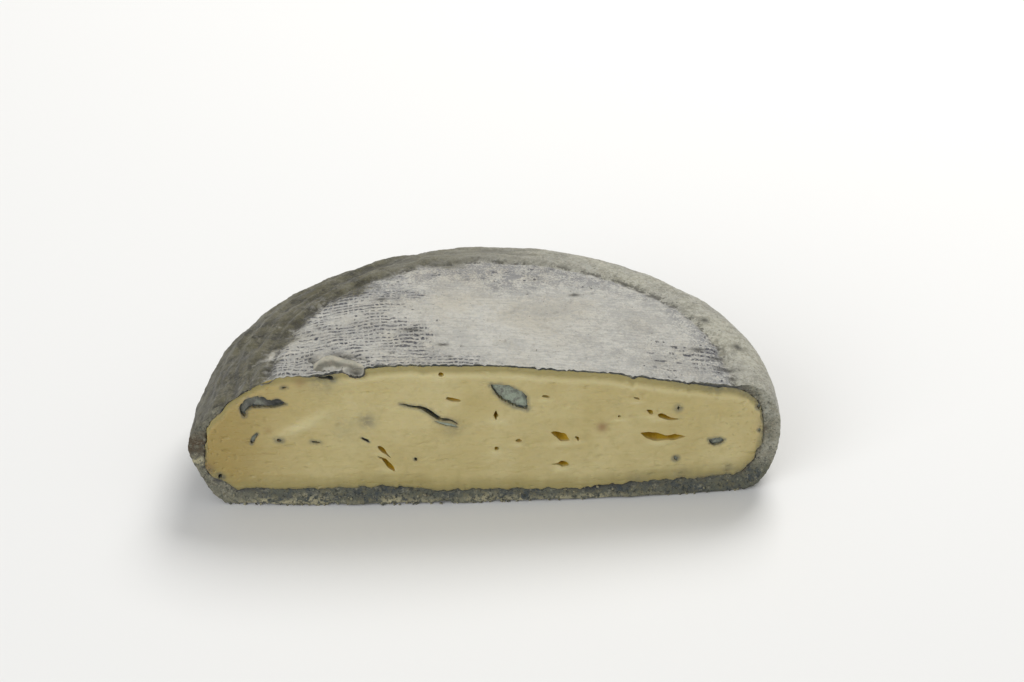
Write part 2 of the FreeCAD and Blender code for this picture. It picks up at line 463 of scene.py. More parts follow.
HOLLOWS: tuple[Hollow, ...] = (
    Hollow(((-49.6, 22.9, 0.55), (-49.8, 24.5, 0.85), (-48.2, 25.9, 1.2), (-46.2, 26.1, 1.35),
            (-44.0, 25.6, 0.85), (-42.5, 25.9, 1.0), (-40.8, 25.5, 0.22)), 3.0, Lining.MOULD, 0.5, 0.30),
    Hollow(((-16.9, 24.9, 0.12), (-14.6, 24.3, 0.28), (-12.6, 23.9, 0.36), (-10.9, 22.9, 0.5),
            (-9.5, 21.7, 0.45), (-8.2, 21.0, 0.34), (-6.4, 20.7, 0.24), (-4.6, 19.6, 0.12)),
           3.2, Lining.CLEFT, 0.8),
    Hollow(((-9.6, 20.6, 0.12), (-7.8, 19.9, 0.30), (-6.2, 19.5, 0.32), (-5.0, 19.0, 0.12)),
           0.7, Lining.MOULD, 0.5, 1.0),
    Hollow(((2.3, 28.9, 0.4), (3.9, 27.9, 1.3), (5.9, 26.6, 1.9), (7.9, 25.2, 1.9), (9.6, 23.2, 0.6)),
           3.2, Lining.MOULD, 0.9, 1.0),
    Hollow(((34.0, 16.4, 0.2), (35.6, 15.8, 0.75), (37.6, 15.3, 0.8), (39.2, 15.0, 0.45), (41.2, 15.1, 0.6),
            (43.4, 15.1, 0.2)), 2.8, Lining.PASTE),
    Hollow(((37.7, 20.7, 0.5), (38.7, 20.3, 0.45), (40.2, 19.6, 0.3), (42.0, 19.5, 0.12)), 2.2, Lining.PASTE),
    Hollow(((35.1, 21.9, 0.12), (35.9, 21.4, 0.38), (36.4, 21.0, 0.15)), 1.4, Lining.PASTE),
    Hollow(((48.7, 13.9, 0.35), (49.7, 13.4, 0.95), (50.9, 13.5, 0.8), (51.8, 13.5, 0.35)),
           2.8, Lining.MOULD, 0.7),
    Hollow(((-22.0, 12.3, 0.12), (-20.8, 11.6, 0.25), (-19.6, 10.2, 0.5), (-18.4, 8.7, 0.2)),
           1.9, Lining.PASTE),
    Hollow(((-21.8, 14.8, 0.3), (-20.9, 14.0, 0.42), (-20.1, 13.0, 0.2), (-19.2, 11.9, 0.1)),
           1.7, Lining.PASTE),
    Hollow(((-25.3, 17.0, 0.15), (-24.3, 16.5, 0.32), (-23.7, 15.9, 0.2)), 1.6, Lining.CLEFT),
    Hollow(((-7.2, 26.1, 0.25), (-6.0, 25.7, 0.35), (-4.2, 25.4, 0.22)), 1.4, Lining.PASTE),
    Hollow(((-33.8, 31.7, 0.26), (-32.5, 31.5, 0.28), (-31.4, 31.5, 0.55), (-30.8, 31.1, 0.35)),
           1.8, Lining.CLEFT, 1.4),
    Hollow(((-47.1, 18.4, 0.28), (-47.9, 17.5, 0.42), (-48.5, 16.0, 0.4)), 1.6, Lining.MOULD, 0.35),
    Hollow(((15.0, 17.1, 0.25), (16.2, 16.5, 0.6), (17.4, 15.8, 0.8), (18.7, 15.1, 0.2)), 2.2, Lining.PASTE),
    Hollow(((20.0, 15.9, 0.12), (20.5, 15.5, 0.26), (20.6, 14.9, 0.12)), 1.3, Lining.PASTE),
    Hollow(((14.9, 9.4, 0.1), (16.3, 9.4, 0.2), (17.3, 9.5, 0.6), (18.6, 9.2, 0.3)), 1.9, Lining.PASTE),
    spot(3.2, 21.7, 1.9, 1.7, 1.9, 0.0, Lining.PASTE),
    spot(3.3, 13.6, 1.5, 0.8, 1.3, 115.0, Lining.PASTE),
    spot(8.0, 15.3, 1.8, 0.6, 0.9, -12.0, Lining.PASTE),
    spot(13.7, 25.9, 2.0, 0.45, 1.1, -14.0, Lining.PASTE),
    spot(-8.2, 31.8, 1.7, 0.8, 1.2, -8.0, Lining.PASTE),
    spot(32.9, 24.8, 1.6, 0.35, 1.0, -18.0, Lining.PASTE),
    spot(29.3, 20.6, 1.0, 0.4, 0.9, -10.0, Lining.PASTE),
    spot(-13.9, 11.5, 1.1, 0.9, 1.4, 30.0, Lining.CLEFT),
    spot(-42.6, 16.8, 1.7, 0.8, 1.0, -15.0, Lining.CLEFT, 1.2),
    spot(-34.9, 16.1, 2.2, 0.45, 0.9, -10.0, Lining.CLEFT, 0.9),
    spot(41.6, 9.7, 1.7, 1.3, 1.1, 30.0, Lining.MOULD, 0.8),
    spot(41.8, 22.2, 1.2, 0.9, 1.4, 0.0, Lining.CLEFT, 1.3),
    spot(-41.0, 29.5, 1.4, 0.5, 0.8, 5.0, Lining.CLEFT, 0.8),
    spot(59.0, 21.6, 1.1, 1.4, 1.2, 0.0, Lining.MOULD, 0.6),
    spot(59.4, 15.7, 0.9, 0.9, 1.0, 0.0, Lining.MOULD, 0.5),
    spot(-55.6, 7.4, 1.2, 1.6, 1.2, -30.0, Lining.CLEFT, 0.9),
)

# Faint stains in the paste with no hole: (x, z, radius, strength).
STAINS: tuple[Mark, ...] = (
    (-24.0, 21.0, 1.9, 0.55), (-33.0, 31.6, 3.2, 0.45), (-28.5, 19.5, 3.4, 0.16), (-58.0, 9.3, 1.2, 0.5),
    (-6.0, 18.8, 2.0, 0.35), (33.5, 4.0, 2.0, 0.4), (43.0, 4.6, 2.6, 0.35), (53.0, 6.2, 1.6, 0.4))

# Brown marks in the paste: (x, z, radius, strength).
BROWNS: tuple[Mark, ...] = (
    (25.7, 18.1, 1.1, 0.75), (-37.6, 30.6, 1.3, 0.35), (-44.8, 19.2, 0.8, 0.30), (-58.2, 9.8, 1.5, 0.40),
    (61.0, 18.5, 0.8, 0.3))


# Names of the masks that the pieces carry and their finishes read.
SKIN_MASKS = ("crown", "crease", "left", "low", "back", "warm", "mat")
CUT_MASKS = ("shadow_and_mould_line", "brown", "cream", "pale", "dusty")
PASTE_MASKS = ("edge", "hole", "stain", "ripe", "brown", "painted_highlight")
BED_MASKS = ("pale", "shade")


class Bench:
    """Puts nodes into one tree and links them."""

    def __init__(self, tree: Tree) -> None:
        """Start on a tree, emptied."""
        self.tree = tree
        tree.nodes.clear()

    def feed(self, socket: Socket, value: object) -> None:
        """Link a socket to an output, or set its own value.

        Args:
            socket: The input to feed.
            value: An output, or a plain value.
        """
        if isinstance(value, Socket):
            self.tree.links.new(value, socket)
        else:
            socket.default_value = value

    def add(self, kind: str, inputs: dict[str | int, object] | None = None, **settings: object) -> Node:
        """Add a node.

        Args:
            kind: The node's type name.
            inputs: Values or outputs for its inputs.
            settings: Properties of the node.

        Returns:
            The node.
        """
        node = self.tree.nodes.new(kind)
        for name, value in settings.items():
            setattr(node, name, value)
        for name, value in (inputs or {}).items():
            self.feed(node.inputs[name], value)
        return node

    def math(self, operation: str, first: object, second: object = 0.0) -> Socket:
        """A Math node's output."""
        return self.add("ShaderNodeMath", {0: first, 1: second}, operation=operation).outputs[0]

    def product(self, *values: object) -> Socket:
        """Multiply values together.

        Args:
            values: Outputs or numbers.

        Returns:
            Their product, or the value itself if it is the only one.
        """
        result = values[0]
        for value in values[1:]:
            result = self.math("MULTIPLY", result, value)
        return result

    def mix(self, factor: object, first: object, second: object) -> Socket:
        """Two colours mixed."""
        return self.add("ShaderNodeMix", {0: factor, 6: first, 7: second}, data_type="RGBA").outputs[2]

    def over(self, base: object, colour: object, *masks: object) -> Socket:
        """A colour laid over another where all its masks are."""
        return self.mix(self.product(*masks), base, colour)

    def ease(self, value: object, low: object, high: object, start: float = 0.0,
             end: float = 1.0) -> Socket:
        """A value eased from one range to another."""
        inputs = {0: value, 1: low, 2: high, 3: start, 4: end}
        return self.add("ShaderNodeMapRange", inputs, interpolation_type="SMOOTHSTEP").outputs[0]

    def noise(self, vector: object, scale: object, detail: float = 2.0, roughness: float = 0.5,
              distortion: float = 0.0) -> Socket:
        """Noise of 0 to 1 at a vector."""
        inputs = {"Vector": vector, "Scale": scale, "Detail": detail, "Roughness": roughness,
                  "Distortion": distortion}
        return self.add("ShaderNodeTexNoise", inputs).outputs["Fac"]

    def flecks(self, vector: object, scale: float, detail: float, roughness: float, low: float,
               high: float) -> Socket:
        """Flecks: noise eased between two levels."""
        return self.ease(self.noise(vector, scale, detail, roughness), low, high)

    def stretch(self, vector: object, scale: Triple) -> Socket:
        """A vector through a Mapping node."""
        return self.add("ShaderNodeMapping", {"Vector": vector, "Scale": scale}).outputs[0]

    def attribute(self, name: str) -> Socket:
        """A mesh attribute's value."""
        return self.add("ShaderNodeAttribute", attribute_name=name).outputs["Fac"]

    def place(self) -> Socket:
        """Object coordinates in modelled millimetres."""
        coordinates = self.add("ShaderNodeTexCoord").outputs["Object"]
        per_metre = 1.0 / UNIT
        return self.stretch(coordinates, (per_metre, per_metre, per_metre))

    def group(self, tree: Tree, inputs: dict[str, object]) -> Node:
        """Place a node group with its own values.

        Args:
            tree: The group.
            inputs: Values or outputs for its inputs.

        Returns:
            The group's node.
        """
        node = self.add("ShaderNodeGroup")
        node.node_tree = tree
        for name, value in inputs.items():
            self.feed(node.inputs[name], value)
        return node


class Effects:
    """Node groups that several finishes share."""

    def __init__(self) -> None:
        """Build each group once."""
        self.grain = self._grain()
        self.mottle = self._mottle()
        self.mat = self._mat()
        self.relief = self._relief()

    @staticmethod
    def _open(name: str, inputs: dict[str, float], outputs: Iterable[str]) -> tuple[Bench, Node, Node]:
        """Make a group that reads a vector or a height, with its other values.

        Args:
            name: The group's name.
            inputs: Name and default of each value; a vector's default is left out.
            outputs: Name of each output.

        Returns:
            A bench on the group, its input node and its output node.
        """
        tree = bpy.data.node_groups.new(name, "ShaderNodeTree")
        kinds = {"Vector": "NodeSocketVector", "Normal": "NodeSocketVector"}
        for label, value in inputs.items():
            kind = kinds.get(label, "NodeSocketFloat")
            socket = tree.interface.new_socket(name=label, in_out="INPUT", socket_type=kind)
            if label not in kinds:
                socket.default_value = value
        for label in outputs:
            kind = kinds.get(label, "NodeSocketFloat")
            tree.interface.new_socket(name=label, in_out="OUTPUT", socket_type=kind)
        bench = Bench(tree)
        return bench, bench.add("NodeGroupInput"), bench.add("NodeGroupOutput")

    def _grain(self) -> Tree:
        """Powdery grain: fine and coarse noise in one height.

        Returns:
            The group.
        """
        bench, source, result = self._open(
            "powder_grain", {"Vector": 0.0, "Fine": 6.0, "Coarse": 1.2, "Coarse Share": 0.5}, ["Height"])
        vector, share = source.outputs["Vector"], source.outputs["Coarse Share"]
        fine = bench.noise(vector, source.outputs["Fine"], 3.0, 0.6)
        coarse = bench.noise(vector, source.outputs["Coarse"], 4.0, 0.6)
        both = bench.add("ShaderNodeMix", {0: share, 2: fine, 3: coarse}, data_type="FLOAT")
        bench.feed(result.inputs["Height"], both.outputs[0])
        return bench.tree

    def _mottle(self) -> Tree:
        """Cloudy patches with broken edges, as a mask.

        Returns:
            The group.
        """
        bench, source, result = self._open(
            "mottle", {"Vector": 0.0, "Scale": 0.1, "Level": 0.5, "Softness": 0.1, "Break Up": 0.4}, ["Mask"])
        vector, level, softness = (source.outputs[name] for name in ("Vector", "Level", "Softness"))
        cloud = bench.noise(vector, source.outputs["Scale"], 5.0, 0.62, 0.3)
        crumb = bench.noise(vector, 2.2, 3.0, 0.7)
        rough = bench.product(bench.math("SUBTRACT", crumb, 0.5), source.outputs["Break Up"])
        total = bench.math("ADD", cloud, rough)
        low = bench.math("SUBTRACT", level, softness)
        high = bench.math("ADD", level, softness)
        bench.feed(result.inputs["Mask"], bench.ease(total, low, high))
        return bench.tree

    def _mat(self) -> Tree:
        """The draining mat's imprint: rows of dark dashes of uneven length, some missing.

        Returns:
            The group.
        """
        bench, source, result = self._open(
            "mat_imprint", {"Vector": 0.0, "Row Pitch": 1.5, "Dash Pitch": 1.1, "Presence": 0.5},
            ["Mask", "Weave"])
        vector = source.outputs["Vector"]
        wobble = bench.add("ShaderNodeTexNoise", {"Vector": vector, "Scale": 0.16, "Detail": 3.0})
        moved = wobble.outputs["Color"]
        steps = (("SUBTRACT", (0.5, 0.5, 0.5)), ("MULTIPLY", (3.0, 3.4, 0.0)), ("ADD", vector))
        for operation, value in steps:
            moved = bench.add("ShaderNodeVectorMath", {0: moved, 1: value}, operation=operation).outputs[0]
        parts = bench.add("ShaderNodeSeparateXYZ", {0: moved})
        row = bench.math("DIVIDE", parts.outputs["Y"], source.outputs["Row Pitch"])
        dash = bench.math("DIVIDE", parts.outputs["X"], source.outputs["Dash Pitch"])
        row_way, dash_way = (bench.math("ABSOLUTE", bench.math("SUBTRACT", bench.math("FRACT", way), 0.5))
                             for way in (row, dash))
        cell = bench.add("ShaderNodeCombineXYZ", {0: bench.product(parts.outputs["X"], 0.34),
                                                  1: bench.product(bench.math("FLOOR", row), 5.3)})
        chance = bench.noise(cell.outputs[0], 1.0, 2.0, 0.7)
        level = bench.math("SUBTRACT", 0.78, bench.product(source.outputs["Presence"], 0.40))
        chosen = bench.ease(bench.math("SUBTRACT", chance, level), -0.02, 0.05)
        line = bench.ease(row_way, 0.30, 0.12)
        gaps = bench.flecks(vector, 0.30, 2.0, 0.5, 0.46, 0.62)
        stroke = bench.math("MAXIMUM", bench.ease(dash_way, 0.44, 0.26), gaps)
        fray = bench.flecks(vector, 1.9, 4.0, 0.7, 0.34, 0.54)
        faded = bench.ease(bench.noise(vector, 0.22, 3.0, 0.6), 0.32, 0.52, 0.35, 1.0)
        weave = bench.product(bench.ease(row_way, 0.5, 0.1), bench.ease(dash_way, 0.5, 0.2))
        bench.feed(result.inputs["Mask"], bench.product(line, stroke, chosen, fray, faded))
        bench.feed(result.inputs["Weave"], weave)
        return bench.tree

    def _relief(self) -> Tree:
        """A bump with a strength and a depth in millimetres, as a normal.

        Returns:
            The group.
        """
        bench, source, result = self._open(
            "fine_relief", {"Height": 0.0, "Strength": 0.5, "Depth": 0.1}, ["Normal"])
        distance = bench.product(source.outputs["Depth"], UNIT)
        bump = bench.add("ShaderNodeBump", {"Strength": source.outputs["Strength"], "Distance": distance,
                                            "Height": source.outputs["Height"]})
        bench.feed(result.inputs["Normal"], bump.outputs[0])
        return bench.tree

    def patches(self, bench: Bench, vector: object, scale: float, level: float, softness: float,
                broken: float) -> Socket:
        """A mask of cloudy patches: their scale, how little they cover, how soft and how ragged."""
        return bench.group(self.mottle, {"Vector": vector, "Scale": scale, "Level": level,
                                         "Softness": softness, "Break Up": broken}).outputs["Mask"]

    def powder(self, bench: Bench, vector: object, fine: float, coarse: float,
               share: float) -> Socket:
        """The powdery grain's height: its fine and coarse scales, and the coarse one's share."""
        return bench.group(self.grain, {"Vector": vector, "Fine": fine, "Coarse": coarse,
                                        "Coarse Share": share}).outputs["Height"]

    def emboss(self, bench: Bench, shader: Node, height: object, strength: float,
               depth: float) -> None:
        """Give a shader a fine relief from a height, with a strength and a depth in millimetres."""
        relief = bench.group(self.relief, {"Height": height, "Strength": strength, "Depth": depth})
        bench.feed(shader.inputs["Normal"], relief.outputs["Normal"])


@dataclass(frozen=True)
class Finish:
    """One material, with the parts of its look that stay the same all over."""

    name: str
    roughness: float = 0.7
    specular: float = 0.35
    sheen: float = 0.0
    glow: float = 0.0
    glow_depth: Triple = (1.0, 0.6, 0.3)

    def start(self) -> tuple[bpy.types.Material, Bench, Node]:
        """Make the material.

        Returns:
            The material, a bench on its nodes and its Principled shader.
        """
        material = bpy.data.materials.new(self.name)
        material.use_nodes = True
        bench = Bench(material.node_tree)
        result = bench.add("ShaderNodeOutputMaterial")
        shader = bench.add("ShaderNodeBsdfPrincipled", {
            "Roughness": self.roughness, "Specular IOR Level": self.specular, "Sheen Weight": self.sheen,
            "Sheen Roughness": 0.6, "Subsurface Weight": self.glow, "Subsurface Radius": self.glow_depth,
            "Subsurface Scale": UNIT})
        bench.feed(result.inputs["Surface"], shader.outputs[0])
        return material, bench, shader


@dataclass(frozen=True)
class BloomFinish(Finish):
    """White bloom over blue-grey mould: the rind's outside."""

    white: Colour = tone(184, 182, 173)
    beige: Colour = tone(172, 165, 147)
    grey: Colour = tone(142, 141, 136)
    slate: Colour = tone(104, 105, 108)
    dash: Colour = tone(54, 55, 64)
    wall_pale: Colour = tone(94, 90, 67)
    wall_olive: Colour = tone(64, 61, 44)
    # wall_dark also colours the painted shade that the low mask lays.
    wall_dark: Colour = tone(42, 40, 31)
    rim_pale: Colour = tone(178, 176, 162)
    rim_grey: Colour = tone(150, 148, 133)
    spot: Colour = tone(56, 54, 46)

    def wall(self, bench: Bench, effects: Effects, place: object, left: object) -> Socket:
        """Colour of the wall: fibrous olive-grey folds on the left, pale and mottled on the right.

        Args:
            bench: Where the nodes go.
            effects: The shared groups.
            place: Object coordinates in millimetres.
            left: 1 on the left of the wheel.

        Returns:
            The colour.
        """
        around = bench.add("ShaderNodeUVMap", uv_map="skin").outputs[0]
        folds = bench.noise(bench.stretch(around, (34.0, 80.0, 1.0)), 1.0, 5.0, 0.66, 0.9)
        fine = bench.noise(bench.stretch(around, (90.0, 150.0, 1.0)), 1.0, 4.0, 0.7, 0.6)
        lumps = bench.noise(place, 0.30, 5.0, 0.72, 0.5)
        dark = bench.over(self.wall_dark, self.wall_olive, bench.ease(folds, 0.36, 0.58))
        dark = bench.over(dark, self.wall_pale, bench.ease(lumps, 0.42, 0.60), 0.65)
        dark = bench.over(dark, self.wall_pale, bench.ease(fine, 0.50, 0.68), 0.45)
        dark = bench.over(dark, self.rim_grey, bench.flecks(place, 1.4, 4.0, 0.75, 0.56, 0.68), 0.30)
        dark = bench.over(dark, self.rim_pale, effects.patches(bench, place, 0.15, 0.60, 0.10, 0.5), 0.12)
        pale = bench.over(self.rim_grey, self.rim_pale, bench.flecks(place, 0.8, 4.0, 0.72, 0.42, 0.58), 0.8)
        pale = bench.over(pale, self.grey, effects.patches(bench, place, 0.09, 0.50, 0.14, 0.5), 0.45)
        pale = bench.over(pale, self.wall_olive, effects.patches(bench, place, 0.30, 0.56, 0.10, 0.8), 0.30)
        pale = bench.over(pale, self.wall_dark, bench.flecks(place, 1.3, 3.0, 0.6, 0.57, 0.68), 0.40)
        return bench.mix(left, pale, dark)

    def top(self, bench: Bench, effects: Effects, place: object, zone: object,
            back: object) -> Socket:
        """Colour of the top: white bloom, fine grey streaks, warm and slate clouds.

        Args:
            bench: Where the nodes go.
            effects: The shared groups.
            place: Object coordinates in millimetres.
            zone: 1 where the draining mat pressed.
            back: 1 towards the back of the top.

        Returns:
            The colour.
        """
        streak = bench.noise(bench.stretch(place, (0.16, 1.7, 0.3)), 1.0, 4.0, 0.65, 0.3)
        slate = effects.patches(bench, place, 0.30, 0.48, 0.10, 1.1)
        worn = effects.patches(bench, place, 0.35, 0.48, 0.10, 1.1)
        colour = bench.over(self.white, self.grey, bench.ease(streak, 0.44, 0.70), 0.55)
        colour = bench.over(colour, self.beige, effects.patches(bench, place, 0.05, 0.52, 0.12, 0.1), 0.55)
        colour = bench.over(colour, self.grey, effects.patches(bench, place, 0.10, 0.56, 0.10, 0.3), 0.40)
        colour = bench.over(colour, self.grey, bench.flecks(place, 0.9, 5.0, 0.75, 0.47, 0.64), 0.50)
        colour = bench.over(colour, self.slate, back, slate, 0.70)
        return bench.over(colour, self.slate, zone, worn, 0.35)

    def make(self, effects: Effects) -> bpy.types.Material:
        """Build the material from the skin's masks.

        Args:
            effects: The shared groups.

        Returns:
            The material.
        """
        material, bench, shader = self.start()
        place = bench.place()
        crown, crease, left, low, back, warm, zone = [bench.attribute(name) for name in SKIN_MASKS]
        broken = bench.product(bench.math("SUBTRACT", bench.noise(place, 0.45, 5.0, 0.75), 0.5), left, 2.2)
        crown = bench.ease(bench.math("ADD", crown, broken), 0.15, 0.85)
        wall, top = self.wall(bench, effects, place, left), self.top(bench, effects, place, zone, back)
        skin = bench.mix(crown, wall, top)
        down = bench.mix(bench.flecks(place, 0.8, 5.0, 0.75, 0.40, 0.62), self.rim_grey, self.beige)
        skin = bench.over(skin, down, warm, 0.9)
        mat = bench.group(effects.mat, {"Vector": place, "Row Pitch": 1.45, "Dash Pitch": 1.15,
                                        "Presence": bench.math("ADD", zone, 0.04)})
        dashes = bench.product(mat.outputs["Mask"], bench.math("SUBTRACT", 1.0, warm))
        beads = bench.flecks(place, 0.50, 4.0, 0.7, 0.47, 0.58)
        skin = bench.over(skin, self.dash, dashes, 0.95)
        skin = bench.over(skin, self.spot, crease, beads, 0.85)
        skin = bench.over(skin, self.spot, bench.flecks(place, 1.7, 1.0, 0.5, 0.71, 0.78), 0.6)
        # Painted shade from the low mask: fold hollows, the furrow behind the tongue, the valley beside it
        # and the tongue's shaded sides; it also lays the top's dark marks and darkens the wall towards the
        # foot.
        skin = bench.over(skin, self.wall_dark, low, 0.94)
        bench.feed(shader.inputs["Base Color"], skin)
        grain = effects.powder(bench, place, 4.5, 1.2, 0.5)
        weave = bench.product(mat.outputs["Weave"], bench.math("ADD", zone, 0.15), 0.45)
        height = bench.math("SUBTRACT", bench.math("ADD", grain, weave), bench.product(dashes, 0.7))
        effects.emboss(bench, shader, height, 0.7, 0.30)
        bench.feed(shader.inputs["Roughness"], bench.ease(grain, 0.3, 0.7, 0.78, 0.96))
        return material


@dataclass(frozen=True)
class CutRindFinish(Finish):
    """The crumbly rind where the knife went through it."""

    # grey and blue are the base band's tones, kept dark partly as painted shade, since the band lies under
    # the paste's swell.
    grey: Colour = tone(98, 100, 88)
    blue: Colour = tone(66, 73, 77)
    olive: Colour = tone(116, 111, 86)
    pale: Colour = tone(134, 130, 113)
    cream: Colour = tone(192, 184, 150)
    chalk: Colour = tone(150, 147, 130)
    glint: Colour = tone(172, 171, 158)
    brown: Colour = tone(78, 64, 48)
    # line colours the painted shadow line where the rind meets the paste, and dark mould along the band's
    # inner edge.
    line: Colour = tone(62, 63, 66)
    dark: Colour = tone(48, 50, 48)

    def make(self, effects: Effects) -> bpy.types.Material:
        """Build the material from the cut rind's masks.

        Args:
            effects: The shared groups.

        Returns:
            The material.
        """
        material, bench, shader = self.start()
        place = bench.place()
        shadow_and_mould_line, brown, cream, pale, dusty = [bench.attribute(name) for name in CUT_MASKS]
        colour = bench.over(self.grey, self.blue, effects.patches(bench, place, 0.28, 0.52, 0.12, 0.9))
        colour = bench.over(colour, self.olive, effects.patches(bench, place, 0.55, 0.55, 0.08, 0.8), 0.7)
        light = bench.over(self.pale, self.grey, effects.patches(bench, place, 0.5, 0.52, 0.12, 0.9), 0.8)
        light = bench.over(light, self.glint, bench.flecks(place, 1.8, 4.0, 0.75, 0.53, 0.64), 0.6)
        faint = bench.math("SUBTRACT", 0.75, bench.product(pale, 0.15))
        colour = bench.over(colour, light, pale)
        colour = bench.over(colour, self.glint, dusty, bench.flecks(place, 0.8, 5.0, 0.75, 0.34, 0.60), 0.75)
        colour = bench.over(colour, self.brown, brown)
        colour = bench.over(colour, self.chalk, bench.flecks(place, 0.9, 4.0, 0.75, 0.54, 0.66), 0.65)
        colour = bench.over(colour, self.cream, cream, bench.flecks(place, 1.1, 3.0, 0.6, 0.42, 0.54))
        colour = bench.over(colour, self.dark, bench.flecks(place, 1.5, 3.0, 0.65, 0.54, 0.64), faint)
        colour = bench.over(colour, self.line, shadow_and_mould_line)
        bench.feed(shader.inputs["Base Color"], colour)
        effects.emboss(bench, shader, effects.powder(bench, place, 4.0, 1.6, 0.6), 0.85, 0.55)
        return material


@dataclass(frozen=True)
class PasteFinish(Finish):
    """Soft ripe paste: pale yellow, deeper in its holes, blue-grey round the mould."""

    pale: Colour = tone(192, 179, 130)
    middle: Colour = tone(181, 166, 113)
    deep: Colour = tone(153, 131, 72)
    olive: Colour = tone(150, 138, 88)
    # The next colour is that of the painted highlight.
    highlight_tone: Colour = tone(206, 197, 152)
    hole: Colour = tone(190, 158, 50)
    mould: Colour = tone(72, 78, 78)
    brown: Colour = tone(132, 96, 62)

    def make(self, effects: Effects) -> bpy.types.Material:
        """Build the material from the paste's masks.

        Args:
            effects: The shared groups.

        Returns:
            The material.
        """
        material, bench, shader = self.start()
        place = bench.place()
        edge, hole, stain, ripe, brown, painted_highlight = [bench.attribute(name) for name in PASTE_MASKS]
        cloud = bench.noise(place, 0.06, 4.0, 0.55, 0.4)
        drag = bench.noise(bench.stretch(place, (0.09, 1.0, 0.75)), 1.0, 4.0, 0.6, 0.4)
        colour = bench.over(self.middle, self.pale, bench.ease(cloud, 0.32, 0.68))
        colour = bench.over(colour, self.deep, bench.ease(drag, 0.45, 0.75), 0.08)
        colour = bench.over(colour, self.olive, bench.flecks(place, 0.6, 4.0, 0.65, 0.46, 0.70), 0.20)
        colour = bench.over(colour, self.deep, ripe)
        # Olive under the rind, partly the creamline's own colour and partly painted shade from the rind's
        # overhang; also darker towards the paste's bottom edge.
        colour = bench.over(colour, self.olive, edge)
        # Painted highlight: paler paste on the lips below bare holes, on the slanting fold and in a line
        # below the top edge.
        colour = bench.over(colour, self.highlight_tone, painted_highlight, 0.55)
        colour = bench.over(colour, self.mould, stain, bench.flecks(place, 0.8, 3.0, 0.6, 0.20, 0.55))
        colour = bench.over(colour, self.brown, brown)
        # Inside bare holes the colour deepens with depth: partly the paste's own deeper tone, partly painted
        # shade.
        colour = bench.over(colour, self.hole, hole)
        bench.feed(shader.inputs["Base Color"], colour)
        smear = bench.noise(bench.stretch(place, (0.18, 0.25, 0.9)), 1.0, 4.0, 0.6)
        bench.feed(shader.inputs["Roughness"], bench.ease(smear, 0.35, 0.65, 0.26, 0.50))
        height = bench.math("ADD", effects.powder(bench, place, 2.6, 0.6, 0.7), bench.product(drag, 0.25))
        effects.emboss(bench, shader, height, 0.38, 0.30)
        return material


@dataclass(frozen=True)
class MouldFinish(Finish):
    """Velvety blue-grey mould in the pockets."""

    # edge colours the painted shade on the beds' rims and upper right.
    edge: Colour = tone(30, 32, 33)
    dark: Colour = tone(103, 101, 94)
    light: Colour = tone(152, 162, 144)

    def make(self, effects: Effects) -> bpy.types.Material:
        """Build the material: dark hollows with paler down.

        Args:
            effects: The shared groups.

        Returns:
            The material.
        """
        material, bench, shader = self.start()
        place = bench.place()
        pale, shade = [bench.attribute(name) for name in BED_MASKS]
        down = effects.patches(bench, place, 0.5, 0.44, 0.16, 0.6)
        colour = bench.over(self.dark, self.light, down, pale)
        colour = bench.over(colour, self.edge, shade)
        bench.feed(shader.inputs["Base Color"], colour)
        effects.emboss(bench, shader, effects.powder(bench, place, 7.0, 2.4, 0.5), 0.8, 0.3)
        return material


def put(name: str, data: bpy.types.ID) -> bpy.types.Object:
    """Put a mesh, lamp or camera into the scene as an object."""
    item = bpy.data.objects.new(name, data)
    bpy.context.scene.collection.objects.link(item)
    return item


def as_mesh(form: Form, name: str) -> bpy.types.Mesh:
    """Turn a form into a mesh.

    Args:
        form: The form; it is freed.
        name: The mesh's name.

    Returns:
        The mesh.
    """
    mesh = bpy.data.meshes.new(name)
    form.to_mesh(mesh)
    form.free()
    return mesh


@dataclass
class Piece:
    """A piece of the cheese: a mesh in modelled millimetres, settled into the frame."""

    title: str = "piece"
    slot: Slot = Slot.RIND
    crisp: float = 55.0

    def settle(self, form: Form, material: bpy.types.Material) -> bpy.types.Object:
        """Turn a mesh in millimetres into a finished object.

        Args:
            form: The mesh; it is freed.
            material: Its finish.

        Returns:
            The object, riding with the cheese and named by its title.
        """
        low, high = CAD_BOX
        for vert in form.verts:
            place = vert.co * UNIT
            vert.co = Vector([min(max(value, least), most) for value, least, most in zip(place, low, high)])
        for face in form.faces:
            face.smooth = True
        mesh = as_mesh(form, self.title)
        mesh.set_sharp_from_angle(angle=math.radians(self.crisp))
        mesh.materials.append(material)
        piece = put(self.title, mesh)
        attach(piece, BODY)
        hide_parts(NODE)
        LOG.info("%s: %d faces", self.title, len(mesh.polygons))
        return piece


def sheet(along: int, across: int, place: Callable[[float, float], Vector]) -> Form:
    """Shape a grid by a rule.

    Args:
        along: Segments in the first direction.
        across: Segments in the second direction.
        place: Gives the point for two shares of 0 to 1.

    Returns:
        The shaped grid.
    """
    form = bmesh.new()
    bmesh.ops.create_grid(form, x_segments=along, y_segments=across, size=1.0)
    for vert in form.verts:
        vert.co = place(0.5 + 0.5 * vert.co.x, 0.5 + 0.5 * vert.co.y)
    return form


def mask_layers(form: Form, names: Iterable[str]) -> Layers:
    """Add an empty mask to a mesh for each name."""
    return {name: form.verts.layers.float.new(name) for name in names}


def write(vert: bmesh.types.BMVert, layers: Layers, values: dict[str, float]) -> None:
    """Write mask values by name onto a point."""
    for name, value in values.items():
        vert[layers[name]] = value


def pour(body: Form, form: Form) -> None:
    """Add one mesh, which is freed, to another."""
    spare = as_mesh(body, "spare")
    form.from_mesh(spare)
    bpy.data.meshes.remove(spare)


